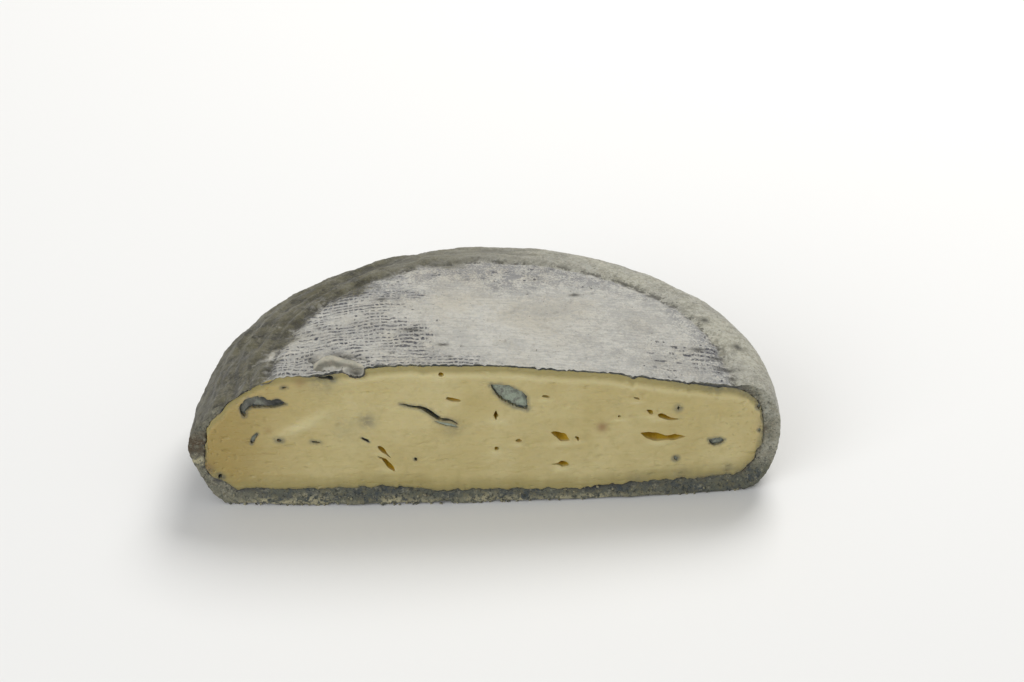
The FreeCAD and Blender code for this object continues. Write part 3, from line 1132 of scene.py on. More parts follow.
def close_up(form: Form, reach: float = 0.0005) -> None:
    """Merge doubled points at seams and poles and turn the faces outwards."""
    bmesh.ops.remove_doubles(form, verts=form.verts, dist=reach)
    bmesh.ops.dissolve_degenerate(form, edges=form.edges, dist=reach)
    bmesh.ops.recalc_face_normals(form, faces=form.faces)


@dataclass
class RindSkin(Piece):
    """The rind's outside: flat foot, wall, shoulder, crease and crown.

    Attributes:
        columns: Columns of faces round the half.
        base_rows: Rows of faces under the foot.
        wall_rows: Rows from the foot to the crease.
        crown_rows: Rows from the crease to the middle.
        furrow: Ends (x, y) of the furrow behind the tongue, sunk and darkened with painted shadow.
        bumps: Lumps of the top as (x, y, radius, height).
        marks: Dark marks of the top as (x, y, length, width).
        rim: The skin's edge on the cut, kept by build.
    """

    title: str = "rind_skin"
    columns: int = 380
    base_rows: int = 14
    wall_rows: int = 88
    crown_rows: int = 112
    crease_cut: float = 0.55
    sag_reach: float = 11.0
    core_y: float = 7.0
    core_inset: float = 1.4
    mat_pitch: float = 1.45
    furrow: tuple[tuple[float, float], tuple[float, float]] = ((-31.2, 7.0), (-24.8, 2.3))
    furrow_width: float = 1.25
    bumps: tuple[Mark, ...] = (
        (-36.7, 25.5, 1.5, 0.6), (-37.4, 18.4, 1.7, 0.5), (-41.5, 9.5, 2.6, 0.6), (-43.5, 5.0, 2.2, 0.5))
    marks: tuple[Mark, ...] = (
        (-14.3, 14.6, 2.1, 0.75), (-7.6, 8.5, 1.2, 0.7), (-6.2, 3.4, 0.6, 0.5), (43.2, 29.6, 1.1, 0.9),
        (49.8, 23.4, 1.0, 1.0), (55.9, 14.0, 1.0, 1.2), (38.6, 34.0, 0.8, 0.8), (22.0, 33.0, 1.3, 0.8),
        (-20.5, 30.0, 1.4, 0.8), (51.0, 9.0, 1.6, 0.8), (47.0, 12.0, 1.4, 0.7), (52.5, 5.5, 2.2, 0.7))
    rim: list[Vector] = field(default_factory=list)

    def rows(self) -> int:
        """Rows of faces from the middle of the foot to the middle of the crown."""
        return self.base_rows + self.wall_rows + self.crown_rows

    def column(self, turn: float, side: float = 0.0, top: float = 0.0, lift: float = 0.0) -> list[Vector]:
        """One line of the skin from the middle of the foot up to the middle of the crown.

        Args:
            turn: The turn round the wheel.
            side: Inset of the wall.
            top: Inset of the top.
            lift: Height over the table at the foot.

        Returns:
            Points in space.
        """
        way = Vector((math.cos(turn), math.sin(turn)))
        wall = resample(FORM.wall(turn, side, top), self.wall_rows + 1)
        line = []
        for row in range(self.base_rows):
            radius = wall[0].x * row / self.base_rows
            line.append(Vector((way.x * radius, way.y * radius, lift)))
        for point in wall:
            rise = point.y + lift * max(0.0, 1.0 - point.y / FORM.belly_height)
            line.append(Vector((way.x * point.x, way.y * point.x, rise)))
        for row in range(1, self.crown_rows + 1):
            line.append(FORM.crown(turn, 1.0 - row / self.crown_rows, side, top))
        return line

    def masks(self, turn: float, row: int, place: Vector, fold: float) -> dict[str, float]:
        """Where the looks change over the skin.

        Args:
            turn: The turn round the wheel.
            row: The row from the middle of the foot.
            place: The point itself.
            fold: Height of the wall's folds there.

        Returns:
            Values of 0 to 1 by name.
        """
        past_foot = row - self.base_rows
        from_crease = past_foot - self.wall_rows
        x, y, _ = place
        left = smooth(0.9, 2.2, turn)
        straggle = (1.5 + 9.0 * left) * wave(x * 0.13, y * 0.13, 3.0) + 2.0 * wave(x * 0.5, y * 0.5, 4.0)
        crown = smooth(-1.0 - 7.0 * left, 3.0 + 12.0 * left, from_crease + straggle)
        crease = bell(from_crease - 1.2 * wave(x * 0.4, y * 0.4, 6.0), 1.9)
        # Darker towards the foot; painted shade in the hollows between the wall's folds; and the painted
        # shade and dark marks from pits.
        low = 0.82 * smooth(0.35, 0.0, past_foot / self.wall_rows)
        low = max(low, 0.42 * smooth(0.02, -0.42, fold) * (1.0 - crown), self.pits(x, y))
        back = smooth(24.0, 44.0, y + 6.0 * wave(x * 0.08, y * 0.08, 9.0))
        right_edge = 0.9 * bell(from_crease - 4.0, 9.0) * smooth(36.0, 44.0, x)
        return {"crown": crown, "crease": crease, "left": left, "low": low, "warm": 0.0,
                "back": max(back, 0.30 * smooth(5.0, 30.0, x), right_edge),
                "mat": self.mat_zone(x, y) * smooth(-4.0, 2.0, from_crease)}

    @staticmethod
    def mat_zone(x: float, y: float) -> float:
        """How clearly the draining mat shows on the top.

        Args:
            x: Place across the cheese.
            y: Place towards its back.

        Returns:
            A share of 0 to 1.
        """
        left = 1.15 * smooth(2.0, -14.0, x + 0.2 * y) * smooth(46.0, 30.0, y)
        right = 0.8 * smooth(30.0, 40.0, x) * smooth(24.0, 8.0, y)
        edge = 1.1 * smooth(5.0, 1.5, y) * smooth(-30.0, -24.0, x) * smooth(16.0, -2.0, x)
        back = 0.55 * smooth(30.0, 40.0, y) * smooth(36.0, 22.0, x)
        zone = max(left, right, edge, back) * (0.8 + 0.9 * wave(x * 0.11, y * 0.16, 7.0))
        return min(1.0, max(0.0, zone))

    def pits(self, x: float, y: float) -> float:
        """How much painted shade lies in the furrow behind the tongue and the valley beside it, and how dark
        the top's marks are.

        Args:
            x: Place across the cheese.
            y: Place towards its back.

        Returns:
            A share of 0 to 1.
        """
        behind = min(1.0, 1.35 * self.behind_tongue(x, y))
        valley = 0.90 * bell(x + 35.9, 0.6 + 0.28 * max(y, 0.0)) * bell(y - 4.8, 2.6)
        return max(behind, valley, *(0.97 * bell(x - mark_x, length) * bell(y - mark_y, width)
                                     for mark_x, mark_y, length, width in self.marks))

    def folds(self, turn: float, past_foot: int) -> float:
        """Height of the wall's long folds, deepest on the left.

        Args:
            turn: The turn round the wheel.
            past_foot: Rows above the foot.

        Returns:
            The height along the normal.
        """
        arc = turn * FORM.belly_radius
        up = past_foot * 0.5
        left = smooth(0.9, 2.2, turn)
        calm = 0.7 * smooth(2.9, 3.1, turn) * smooth(0.5, 0.3, past_foot / self.wall_rows)
        lean = 0.18 + 0.82 * left * (1.0 - calm)
        height = lean * (0.72 * wave(arc * 0.05, up * 0.30, 2.0) + 0.50 * wave(arc * 0.10, up * 0.75, 5.0))
        height += lean * (0.20 * wave(arc * 0.3, up * 1.1, 9.0) + 0.08 * wave(arc * 0.8, up * 2.2, 19.0))
        ledge_row = self.wall_rows * (0.80 + 0.05 * wave(turn * 3.0, 0.0, 4.0))
        ledge = 0.8 * (1.0 + 0.5 * smooth(2.6, 2.76, turn))
        ledge *= smooth(1.7, 2.05, turn) * smooth(2.81, 2.76, turn)
        height += ledge * bell(past_foot - ledge_row, 2.6)
        return height + 0.6 * smooth(1.9, 2.2, turn) * bell(past_foot - ledge_row + 11.0, 3.2)

    def behind_tongue(self, x: float, y: float) -> float:
        """1 in the dark furrow behind the torn tongue, 0 away from it."""
        share, gap = beside(Vector((x, y)), *(Vector(end) for end in self.furrow))
        return (0.35 + 0.65 * share) * bell(gap, self.furrow_width)

    def relief(self, turn: float, row: int, place: Vector, mask: dict[str, float], fold: float) -> float:
        """Height of the skin's relief at a point.

        Args:
            turn: The turn round the wheel.
            row: The row from the middle of the foot.
            place: The point itself.
            mask: The masks there.
            fold: Height of the wall's folds there.

        Returns:
            The height along the normal.
        """
        past_foot = row - self.base_rows
        x, y, z = place
        if past_foot < 0:
            return 0.12 * wave(x * 0.25, y * 0.25, 1.0) - 0.14
        top = smooth(-2.0, 3.0, past_foot - self.wall_rows)
        slow = 0.22 * wave(x * 0.11, y * 0.11, z * 0.11) + 0.12 * wave(x * 0.35, y * 0.35, z * 0.35)
        mat = 0.11 * (abs((y / self.mat_pitch) % 1.0 - 0.5) * 2.0 - 0.5) * (0.25 + mask["mat"])
        grain = 0.09 * wave(x * 1.3, y * 1.3, z * 1.3) + 0.05 * wave(x * 2.6, y * 2.6, z * 2.6)
        pits = -0.30 * (0.3 + 0.7 * top) * smooth(0.38, 0.60, wave(x * 0.55, y * 0.55, z * 0.55 + 8.0))
        groove = -self.crease_cut * mask["crease"] * (0.75 + 0.6 * wave(turn * 22.0, 0.0, 6.0))
        bumps = sum(height * bell(math.hypot(x - at_x, y - at_y), size)
                    for at_x, at_y, size, height in self.bumps)
        wall = fold * (1.0 - top)
        valley = -0.8 * bell(x + 36.0, 1.8) * bell(y - 4.0, 2.8)
        hollow = -1.1 * self.behind_tongue(x, y)
        return slow + wall + mat * top + grain + pits + groove + bumps + (valley + hollow) * top - 0.15

    def tear(self, place: Vector, at_rim: bool) -> Vector:
        """Sag the skin with the cut and tear its edge.

        Args:
            place: A point of the smooth skin.
            at_rim: Whether it lies on the skin's edge.

        Returns:
            Where the point moves to.
        """
        x, y, z = place
        near = bell(y, 1.3)
        foot = smooth(2.2, 0.4, z) * near
        ragged = (0.20 * wave(x * 0.9, z * 0.9, 2.0) + 0.14 * wave(x * 2.4, z * 2.4, 5.0)) * near
        ragged += foot * (0.45 * wave(x * 0.5, 0.0, 45.0) + 0.35 * wave(x * 1.3, 0.0, 46.0))
        ragged *= 1.0 - 0.8 * smooth(-50.0, -57.0, x)
        hang = overhang(x, z) * bell(y, 0.9)
        behind = 0.0 if at_rim else y
        lifted = 0.30 - 0.2 * smooth(10.0, 30.0, x)
        lifted += 0.6 * wave(x * 0.35, 0.0, 47.0) + 0.5 * wave(x * 1.1, 0.0, 48.0)
        moved = Vector((x, behind + FORM.cut_y(x, z) * bell(y, self.sag_reach) + ragged - 0.5 * hang, z))
        moved.z += max(0.0, lifted) * foot - 0.5 * hang * smooth(15.0, 19.0, z)
        moved.z += (crest(x) * bell(y, 7.0) + 0.12 * bell(y, 3.0)) * smooth(22.0, 27.0, z)
        return moved

    def build(self) -> Form:
        """Make the closed skin and keep its rim on the cut.

        Returns:
            The mesh, with its masks and its UV map.
        """
        rows = self.rows()
        lines = [self.column(math.pi * step / self.columns) for step in range(self.columns + 1)]
        keys: dict[int, tuple[int, int]] = {}
        form = bmesh.new()
        bmesh.ops.create_grid(form, x_segments=self.columns, y_segments=rows, size=1.0)
        for vert in form.verts:
            step = round((0.5 + 0.5 * vert.co.x) * self.columns)
            row = round((0.5 + 0.5 * vert.co.y) * rows)
            keys[vert.index] = (step, row)
            vert.co = lines[step][row]
        form.normal_update()
        layers = mask_layers(form, SKIN_MASKS)
        normals = {vert.index: vert.normal.copy() for vert in form.verts}
        outwards = -1.0 if sum(normal.y for normal in normals.values()) < 0.0 else 1.0
        uv_layer = form.loops.layers.uv.new("skin")
        for face in form.faces:
            for loop in face.loops:
                step, row = keys[loop.vert.index]
                loop[uv_layer].uv = (step / self.columns, 0.3 * row / self.wall_rows)
        sides: dict[int, dict[int, Vector]] = {0: {}, self.columns: {}}
        for vert in form.verts:
            step, row = keys[vert.index]
            turn = math.pi * step / self.columns
            fold = self.folds(turn, row - self.base_rows)
            mask = self.masks(turn, row, vert.co, fold)
            write(vert, layers, mask)
            away = normals[vert.index] * outwards
            if row in (0, rows):
                away = Vector((0.0, 0.0, -1.0 if row == 0 else 1.0))
            vert.co = self.tear(vert.co + away * self.relief(turn, row, vert.co, mask, fold), step in sides)
            if step in sides:
                sides[step][row] = vert.co.copy()
        right, left = ([side[row] for row in range(rows + 1)] for side in sides.values())
        self.rim = right + list(reversed(left))[1:-1]
        close_up(form)
        self._close_behind(form)
        return form

    def _close_behind(self, form: Form) -> None:
        """Turn the open edge inwards and close it behind the cut.

        Args:
            form: The skin, open at the cut.
        """
        open_edges = [edge for edge in form.edges if edge.is_boundary]
        made = bmesh.ops.extrude_edge_only(form, edges=open_edges)
        middle = Vector((0.0, 0.5 * FORM.crown_height))
        for vert in (item for item in made["geom"] if isinstance(item, bmesh.types.BMVert)):
            away = Vector((vert.co.x, vert.co.z)) - middle
            inner = middle + away * (1.0 - self.core_inset / max(away.length, self.core_inset))
            vert.co = Vector((inner.x, self.core_y, inner.y))
        bmesh.ops.contextual_create(form, geom=[edge for edge in form.edges if edge.is_boundary])
        bmesh.ops.recalc_face_normals(form, faces=form.faces)

    def dress(self, effects: Effects) -> bpy.types.Object:
        """Build and finish the piece."""
        finish = BloomFinish("bloomy_rind", roughness=0.9, specular=0.2, sheen=0.15, glow=0.05)
        return self.settle(self.build(), finish.make(effects))


# Torn points of rind along the top edge: (x, half width, drop).
SPIKES: tuple[Triple, ...] = (
    (31.9, 0.9, 0.9), (43.9, 0.7, 0.45), (50.2, 0.8, 0.4), (12.4, 0.7, 0.35), (-12.0, 0.8, 0.4),
    (25.0, 0.6, 0.3))


def crest(x: float) -> float:
    """How much higher the torn top edge stands than the smooth form."""
    return 0.9 * bell(x - 26.0, 9.5) + 0.5 * bell(x + 17.0, 9.0) + 1.7 * bell(x + 42.5, 6.0)


def end_shift(x: float, z: float) -> float:
    """How much further in from the skin the paste stops at the two ends of the cut.

    Args:
        x: Place across the cut.
        z: Height.

    Returns:
        The distance inwards.
    """
    if x < 0.0:
        left = 1.4 * bell(z - 16.0, 2.6) - 1.4 * bell(z - 8.0, 2.8) - 1.0 * bell(z - 21.5, 2.6)
        return left + 0.35 * wave(z * 0.9, 3.0, 71.0)
    return 1.0 + 1.2 * bell(z - 25.5, 2.4) + 0.6 * wave(z * 0.35, 3.0, 72.0) + 0.45 * wave(z * 1.1, 5.0, 73.0)


def left_shoulder(x: float, z: float) -> float:
    """1 on the left shoulder, where the rind is a thin ragged skin over the paste."""
    return smooth(-30.0, -42.0, x) * smooth(22.0, 26.5, z)


def spikes(x: float) -> float:
    """How far torn points of rind hang from the top edge over the paste."""
    return sum(drop * max(0.0, 1.0 - abs(x - at) / wide) for at, wide, drop in SPIKES)


def overhang(x: float, z: float) -> float:
    """How far the skin's torn edge hangs over the cut.

    Args:
        x: Place across the cut.
        z: Height.

    Returns:
        The distance.
    """
    nicks = max(0.0, 0.12 + 0.42 * wave(x * 0.8, z * 0.8, 11.0) + 0.42 * wave(x * 1.9, z * 1.9, 12.0))
    torn = max(0.0, 0.20 + 0.9 * wave(x * 0.45, z * 0.45, 15.0) + 0.7 * wave(x * 1.1, z * 1.1, 16.0))
    high = smooth(15.0, 20.0, z)
    left = smooth(-34.0, -44.0, x) * smooth(12.0, 18.0, z)
    return (nicks + spikes(x) * high + torn * left) * (0.35 + 0.65 * high)


def base_rag(x: float) -> float:
    """How far the base rind's upper edge wanders."""
    return 0.50 * wave(x * 0.16, 0.0, 21.0) + 0.5 * wave(x * 0.45, 0.0, 22.0) + 0.4 * wave(x * 1.3, 0.0, 23.0)


@dataclass
class PasteEdge:
    """The paste's outline on the cut: a height of its top and bottom at any x."""

    count: int = 1200
    thin_top: float = 0.38
    thin_shoulder: float = 0.86
    end_reach: float = 6.0
    left: float = 0.0
    right: float = 0.0
    top: list[Vector] = field(default_factory=list)
    bottom: list[Vector] = field(default_factory=list)

    def __post_init__(self) -> None:
        """Work the outline out once: the wheel's own, drawn in by the rind's thickness.

        Where the rind is thin the line moves out to the skin, and at the ends it wanders.
        """
        inner = FORM.outline(FORM.rind_side, FORM.rind_top, paste_base)
        outer = FORM.outline(0.0, 0.0, lambda x: 0.0)
        line = []
        for near, far in zip(inner, outer):
            shoulder = left_shoulder(far.x, far.y)
            thin = max(self.thin_shoulder * shoulder, self.thin_top * smooth(20.0, 26.0, far.y))
            point = near.lerp(far, thin)
            way = -1.0 if point.x > 0.0 else 1.0
            ends = smooth(44.0, 52.0, abs(point.x)) * smooth(4.0, 7.0, point.y) * (1.0 - shoulder)
            point.x += way * ends * end_shift(point.x, point.y)
            point.y += crest(point.x) * smooth(22.0, 27.0, point.y)
            line.append(point)
        line = resample(line, self.count)
        order = sorted(range(len(line)), key=lambda index: line[index].x)
        self.left, self.right = line[order[0]].x, line[order[-1]].x
        low, high = sorted((order[0], order[-1]))
        self.top = sorted(line[low:high + 1], key=lambda point: point.x)
        self.bottom = sorted(line[high:] + line[:low + 1], key=lambda point: point.x)

    @staticmethod
    def _height(line: list[Vector], x: float) -> float:
        """Height of a line at an x.

        Args:
            line: Points (x, z) from left to right.
            x: Place across the cut.

        Returns:
            The height.
        """
        low, high = 0, len(line) - 1
        while high - low > 1:
            middle = (low + high) // 2
            low, high = (middle, high) if line[middle].x <= x else (low, middle)
        run = line[high].x - line[low].x
        share = 0.0 if run < 1e-9 else min(1.0, max(0.0, (x - line[low].x) / run))
        return line[low].y + (line[high].y - line[low].y) * share

    def top_at(self, x: float) -> float:
        """Height of the paste's top edge."""
        ragged = 0.10 * wave(x * 0.8, 0.0, 11.0) + 0.08 * wave(x * 2.0, 0.0, 12.0)
        return self._height(self.top, x) - ragged - 0.8 * spikes(x)

    def bottom_at(self, x: float) -> float:
        """Height of the paste's bottom edge, which wanders away from its ends.

        Args:
            x: Place across the cut.

        Returns:
            The height.
        """
        ends = smooth(self.left, self.left + self.end_reach, x)
        ends *= smooth(self.right, self.right - self.end_reach, x)
        raised = 1.5 * smooth(-6.0, -20.0, x) - 0.7 * bell(x - 18.0, 9.0)
        return self._height(self.bottom, x) + (base_rag(x) + raised) * ends

    def inside(self, x: float, z: float) -> float:
        """How far a place on the cut lies inside the paste, negative in the rind."""
        return min(self.top_at(x) - z, z - self.bottom_at(x), x - self.left, self.right - x)


@dataclass
class CutRind(Piece):
    """The rind where the knife went through it, between the skin and the paste.

    Attributes:
        bands: Rings of faces from the skin's rim to the band's inner line.
        under: How far the band passes under the paste.
        under_top: The same at the top.
        tuck: How far the band drops behind the paste.
        cream_patches: Places where paste sticks to the rind as (x, z, size).
    """

    title: str = "rind_cut"
    bands: int = 12
    under: float = 3.0
    under_top: float = 3.9
    crumble: float = 0.60
    tuck: float = 1.4
    close_y: float = 4.0
    ledge: float = 0.9
    cream_patches: tuple[Triple, ...] = (
        (-37.0, 1.2, 3.2), (-19.0, 0.8, 2.6), (-13.6, 0.6, 2.2), (1.5, 1.2, 2.4), (-60.0, 11.2, 1.9),
        (-47.0, 0.8, 2.2), (14.0, 0.5, 2.0), (-2.0, 0.4, 2.0), (24.0, 0.6, 1.8))

    def base_ledge(self, x: float, z: float, width: float) -> float:
        """1 on the thin wandering ledge along the foot, 0 away from it."""
        return bell(z - self.ledge - 0.5 * wave(x * 0.3, 0.0, 61.0), width)

    def face(self, rim: Vector, core: Vector, way: float, edge: PasteEdge) -> Vector:
        """A point of the band's broken face.

        Args:
            rim: The skin's rim.
            core: The band's inner line there, under the paste.
            way: How far the point lies from the rim to the core.
            edge: The paste's outline.

        Returns:
            The point.
        """
        point = rim.lerp(core, way)
        x, z = point.x, point.z
        chunky = smooth(8.0, 3.0, z) + 0.6 * smooth(50.0, 56.0, abs(x))
        rough = 0.5 * wave(x * 0.8, 0.0, z * 1.1) + 0.4 * wave(x * 1.9, 3.0, z * 2.2)
        rough += 0.25 * wave(x * 4.5, 0.0, z * 4.5) - 0.5 * self.base_ledge(x, z, 0.45)
        point.y = FORM.cut_y(x, z) + (rim.y - FORM.cut_y(rim.x, rim.z)) * (1.0 - way)
        crumbled = self.crumble * (0.35 + 0.65 * min(1.0, chunky)) * rough
        point.y += smooth(0.0, 0.15, way) * (crumbled + 0.08)
        point.y += self.tuck * smooth(0.05, 0.7, edge.inside(x, z))
        return point

    def mark(self, form: Form, edge: PasteEdge) -> None:
        """Write where the looks change.

        Args:
            form: The band.
            edge: The paste's outline.
        """
        layers = mask_layers(form, CUT_MASKS)
        for vert in form.verts:
            x, _, z = vert.co
            drop = FORM.top_z(x) - z
            inside = edge.inside(x, z)
            broken = 0.5 + 0.5 * wave(x * 0.9, 0.0, z * 0.9 + 5.0)
            # A painted shadow line along the top edge, where the rind's sheet overlaps the paste.
            line = smooth(0.1, 0.35, drop) * smooth(14.0, 19.0, z) * 0.9
            line *= smooth(58.0, 53.0, x) * smooth(-52.0, -46.0, x)
            # A dark rim along the paste's edge: partly blue mould, partly painted shade.
            strong = 0.15 + 0.75 * smooth(-44.0, -50.0, x) + 0.8 * bell(x - 29.0, 13.0)
            strong *= 1.0 - 0.7 * smooth(50.0, 54.0, x)
            rim = smooth(-1.5, -0.2, inside) * smooth(0.40, 0.62, broken) * strong
            left_brown = smooth(-56.0, -59.0, x) * bell(z - 15.5, 3.0) * smooth(0.2, 0.6, broken)
            right_brown = 0.5 * smooth(0.3, 0.7, broken) * smooth(-1.6, -0.4, inside) * smooth(54.0, 57.0, x)
            cream = max(bell(x - patch_x, size) * bell(z - patch_z, 0.5 * size)
                        for patch_x, patch_z, size in self.cream_patches)
            ridge = self.base_ledge(x, z, 0.55) * 0.85 * smooth(45.0, 30.0, x)
            ridge *= smooth(-0.15, 0.30, wave(x * 0.22, 0.0, 64.0))
            write(vert, layers, {
                "shadow_and_mould_line": max(line, rim), "brown": max(left_brown, right_brown), "cream": max(cream, ridge),
                "pale": smooth(4.5, 9.0, z) * smooth(40.0, 50.0, x) + 0.8 * smooth(-46.0, -54.0, x),
                "dusty": smooth(-1.6, -3.8, inside) * smooth(46.0, 53.0, x) * smooth(5.0, 14.0, z)})

    def build(self, skin: RindSkin, edge: PasteEdge) -> Form:
        """Make the closed band from the skin's rim.

        Args:
            skin: The skin, already built.
            edge: The paste's outline, which the band passes under.

        Returns:
            The mesh.
        """
        insets = (FORM.rind_side + self.under, FORM.rind_top + self.under_top, FORM.rind_base + self.under)
        inner = skin.column(0.0, *insets) + list(reversed(skin.column(math.pi, *insets)))[1:-1]
        count = len(skin.rim)
        rings = self.bands + 3

        def place(share: float, ring_share: float) -> Vector:
            """A point of the band: its face first, then two rings that close it behind.

            Args:
                share: How far round the rim.
                ring_share: How far through the rings.

            Returns:
                The point.
            """
            index = round(share * count) % count
            ring = round(ring_share * rings) % rings
            rim, core = skin.rim[index], inner[index]
            if ring > self.bands:
                near = rim.lerp(core, 0.25 if ring == self.bands + 2 else 1.0)
                return Vector((near.x, self.close_y, near.z))
            return self.face(rim, core, ring / self.bands, edge)

        form = sheet(count, rings, place)
        close_up(form)
        self.mark(form, edge)
        return form

    def dress(self, skin: RindSkin, edge: PasteEdge, effects: Effects) -> bpy.types.Object:
        """Build and finish the piece."""
        finish = CutRindFinish("cut_rind", roughness=0.85, specular=0.25, sheen=0.05, glow=0.05)
        return self.settle(self.build(skin, edge), finish.make(effects))


@dataclass
class Paste(Piece):
    """The soft paste, proud of the cut rind, with its holes, cracks and pockets.

    Attributes:
        swell: How far the face stands forward.
        tucks: Steps back from the face as (y, distance inwards).
        around: Faces round a hollow.
        step: Length of a hollow's faces.
        bare_width: How much wider a bare hollow is made.
        merge: Distance under which the carved face's points are merged.
        fold_x: Middle of the slanting fold.
        lips: Bare holes as (x, z, size), found at the start.
    """

    title: str = "paste"
    slot: Slot = Slot.PASTE
    columns: int = 380
    rows: int = 110
    swell: float = 0.45
    tucks: tuple[tuple[float, float], ...] = ((0.8, 0.8), (5.0, 1.9))
    around: int = 22
    step: float = 0.28
    bare_width: float = 1.22
    merge: float = 0.0005
    fold_x: float = -37.0
    fold_length: float = 5.5
    edge: PasteEdge = field(default_factory=PasteEdge)
    lips: list[Triple] = field(default_factory=list)

    def __post_init__(self) -> None:
        """Find where the holes' lips are."""
        for hollow in HOLLOWS:
            if hollow.lining is Lining.PASTE:
                x, z, half = max(hollow.stations, key=lambda station: station[2])
                self.lips.append((x, z, 0.8 + half))

    def fold(self, x: float, z: float, height: float, width: float) -> float:
        """1 on the soft fold that slants up at the left of the paste, 0 away from it."""
        return bell((z - height) - 0.5 * (x - self.fold_x), width) * bell(x - self.fold_x, self.fold_length)

    def surface_y(self, x: float, z: float) -> float:
        """How far forward the paste's face is at a place on the cut.

        Args:
            x: Place across the cut.
            z: Height.

        Returns:
            The place from back to front, negative to the front.
        """
        top = self.edge.top_at(x) - z
        bottom = z - self.edge.bottom_at(x)
        ends = min(x - self.edge.left, self.edge.right - x)
        near = min(top * 0.8, bottom, ends)
        proud = math.sqrt(max(0.0, 1.0 - (1.0 - min(1.0, max(0.0, near / 0.8))) ** 2))
        tucked = 0.34 * (1.0 - smooth(0.9, 2.3, top)) + 0.22 * left_shoulder(x, z) * bell(top, 3.0)
        slow = 0.26 * wave(x * 0.06, 0.0, z * 0.09) + 0.10 * wave(x * 0.22, 4.0, z * 0.3)
        drag = 0.09 * wave(x * 0.10, 9.0, z * 0.9) + 0.08 * wave(x * 0.35, 2.0, z * 0.8)
        soft = 0.03 * wave(x * 1.1, 5.0, z * 1.1)
        nicks = 0.24 * smooth(0.44, 0.66, wave(x * 0.42, 7.0, z * 0.95))
        nicks += 0.18 * smooth(0.40, 0.60, wave(x * 1.05, 17.0, z * 1.6))
        nicks -= 0.55 * self.fold(x, z, 21.0, 1.4)
        return FORM.cut_y(x, z) + (slow + drag + soft + nicks + tucked - self.swell) * proud - self.burr(x, z)

    def lips_near(self, x: float, z: float) -> list[tuple[float, float, float]]:
        """Place from its lip, across and up, and size of each bare hole close to a place."""
        return [(x - at_x, z - at_z, size) for at_x, at_z, size in self.lips
                if abs(x - at_x) < 5.0 and abs(z - at_z) < 4.0]

    def burr(self, x: float, z: float) -> float:
        """Height of the soft lips that the knife pushed up beside the bare holes."""
        return sum(0.16 * bell(aside, 1.3 * size) * bell(up + 0.75 * size, 0.5 * size)
                   for aside, up, size in self.lips_near(x, z) if abs(aside) < 4.0 and abs(up) < 3.0)

    def _face(self, across: float, up: float) -> Vector:
        """A point of the paste's face.

        Args:
            across: Share from its left end to its right end.
            up: Share from its bottom edge to its top edge.

        Returns:
            The point.
        """
        middle = 0.5 * (self.edge.left + self.edge.right)
        half = 0.5 * (self.edge.right - self.edge.left)
        x = middle + half * math.sin(math.pi * (across - 0.5))
        from_end = half - abs(x - middle)
        low, high = self.edge.bottom_at(x), self.edge.top_at(x)
        if from_end < 0.02:
            low = high = 0.5 * (low + high)
        share = 0.35 * (0.5 - 0.5 * math.cos(math.pi * up)) + 0.65 * up
        z = low + max(0.0, high - low) * share
        y = self.surface_y(x, z)
        x += 0.35 * bell(from_end, 3.0) * wave(z * 0.55, 1.0, 30.0 if x > middle else 40.0)
        return Vector((x, y, z))

    def slab(self) -> Form:
        """The paste without its holes: face, sides and flat back.

        Returns:
            The closed mesh.
        """
        form = sheet(self.columns, self.rows, self._face)
        bmesh.ops.remove_doubles(form, verts=form.verts, dist=0.004)
        middle = Vector((0.0, 0.0, 0.5 * FORM.crown_height))
        for back, inward in self.tucks:
            open_edges = [edge for edge in form.edges if edge.is_boundary]
            made = bmesh.ops.extrude_edge_only(form, edges=open_edges)
            for vert in (item for item in made["geom"] if isinstance(item, bmesh.types.BMVert)):
                away = vert.co - middle
                away.y = 0.0
                vert.co -= away * (inward / max(1.0, away.length))
                vert.co.y = back
        bmesh.ops.contextual_create(form, geom=[edge for edge in form.edges if edge.is_boundary])
        bmesh.ops.recalc_face_normals(form, faces=form.faces)
        return form

    def hollow(self, hollow: Hollow, shift: float = 0.0, shrink: float = 1.0,
               rough: float = 1.0) -> Form:
        """A closed, uneven body of a hollow.

        Args:
            hollow: The hollow.
            shift: How far it is moved into the paste.
            shrink: Its size against the hollow's own.
            rough: How uneven it is.

        Returns:
            The mesh.
        """
        line = [Vector((x, half, z)) for x, z, half in hollow.stations]
        widest = max(half for _, _, half in hollow.stations)
        length = sum((second - first).length for first, second in zip(line, line[1:]))
        width = self.bare_width if hollow.lining is Lining.PASTE else 1.0
        fine_tear = 0.10 + 0.16 * smooth(1.0, 1.3, widest)

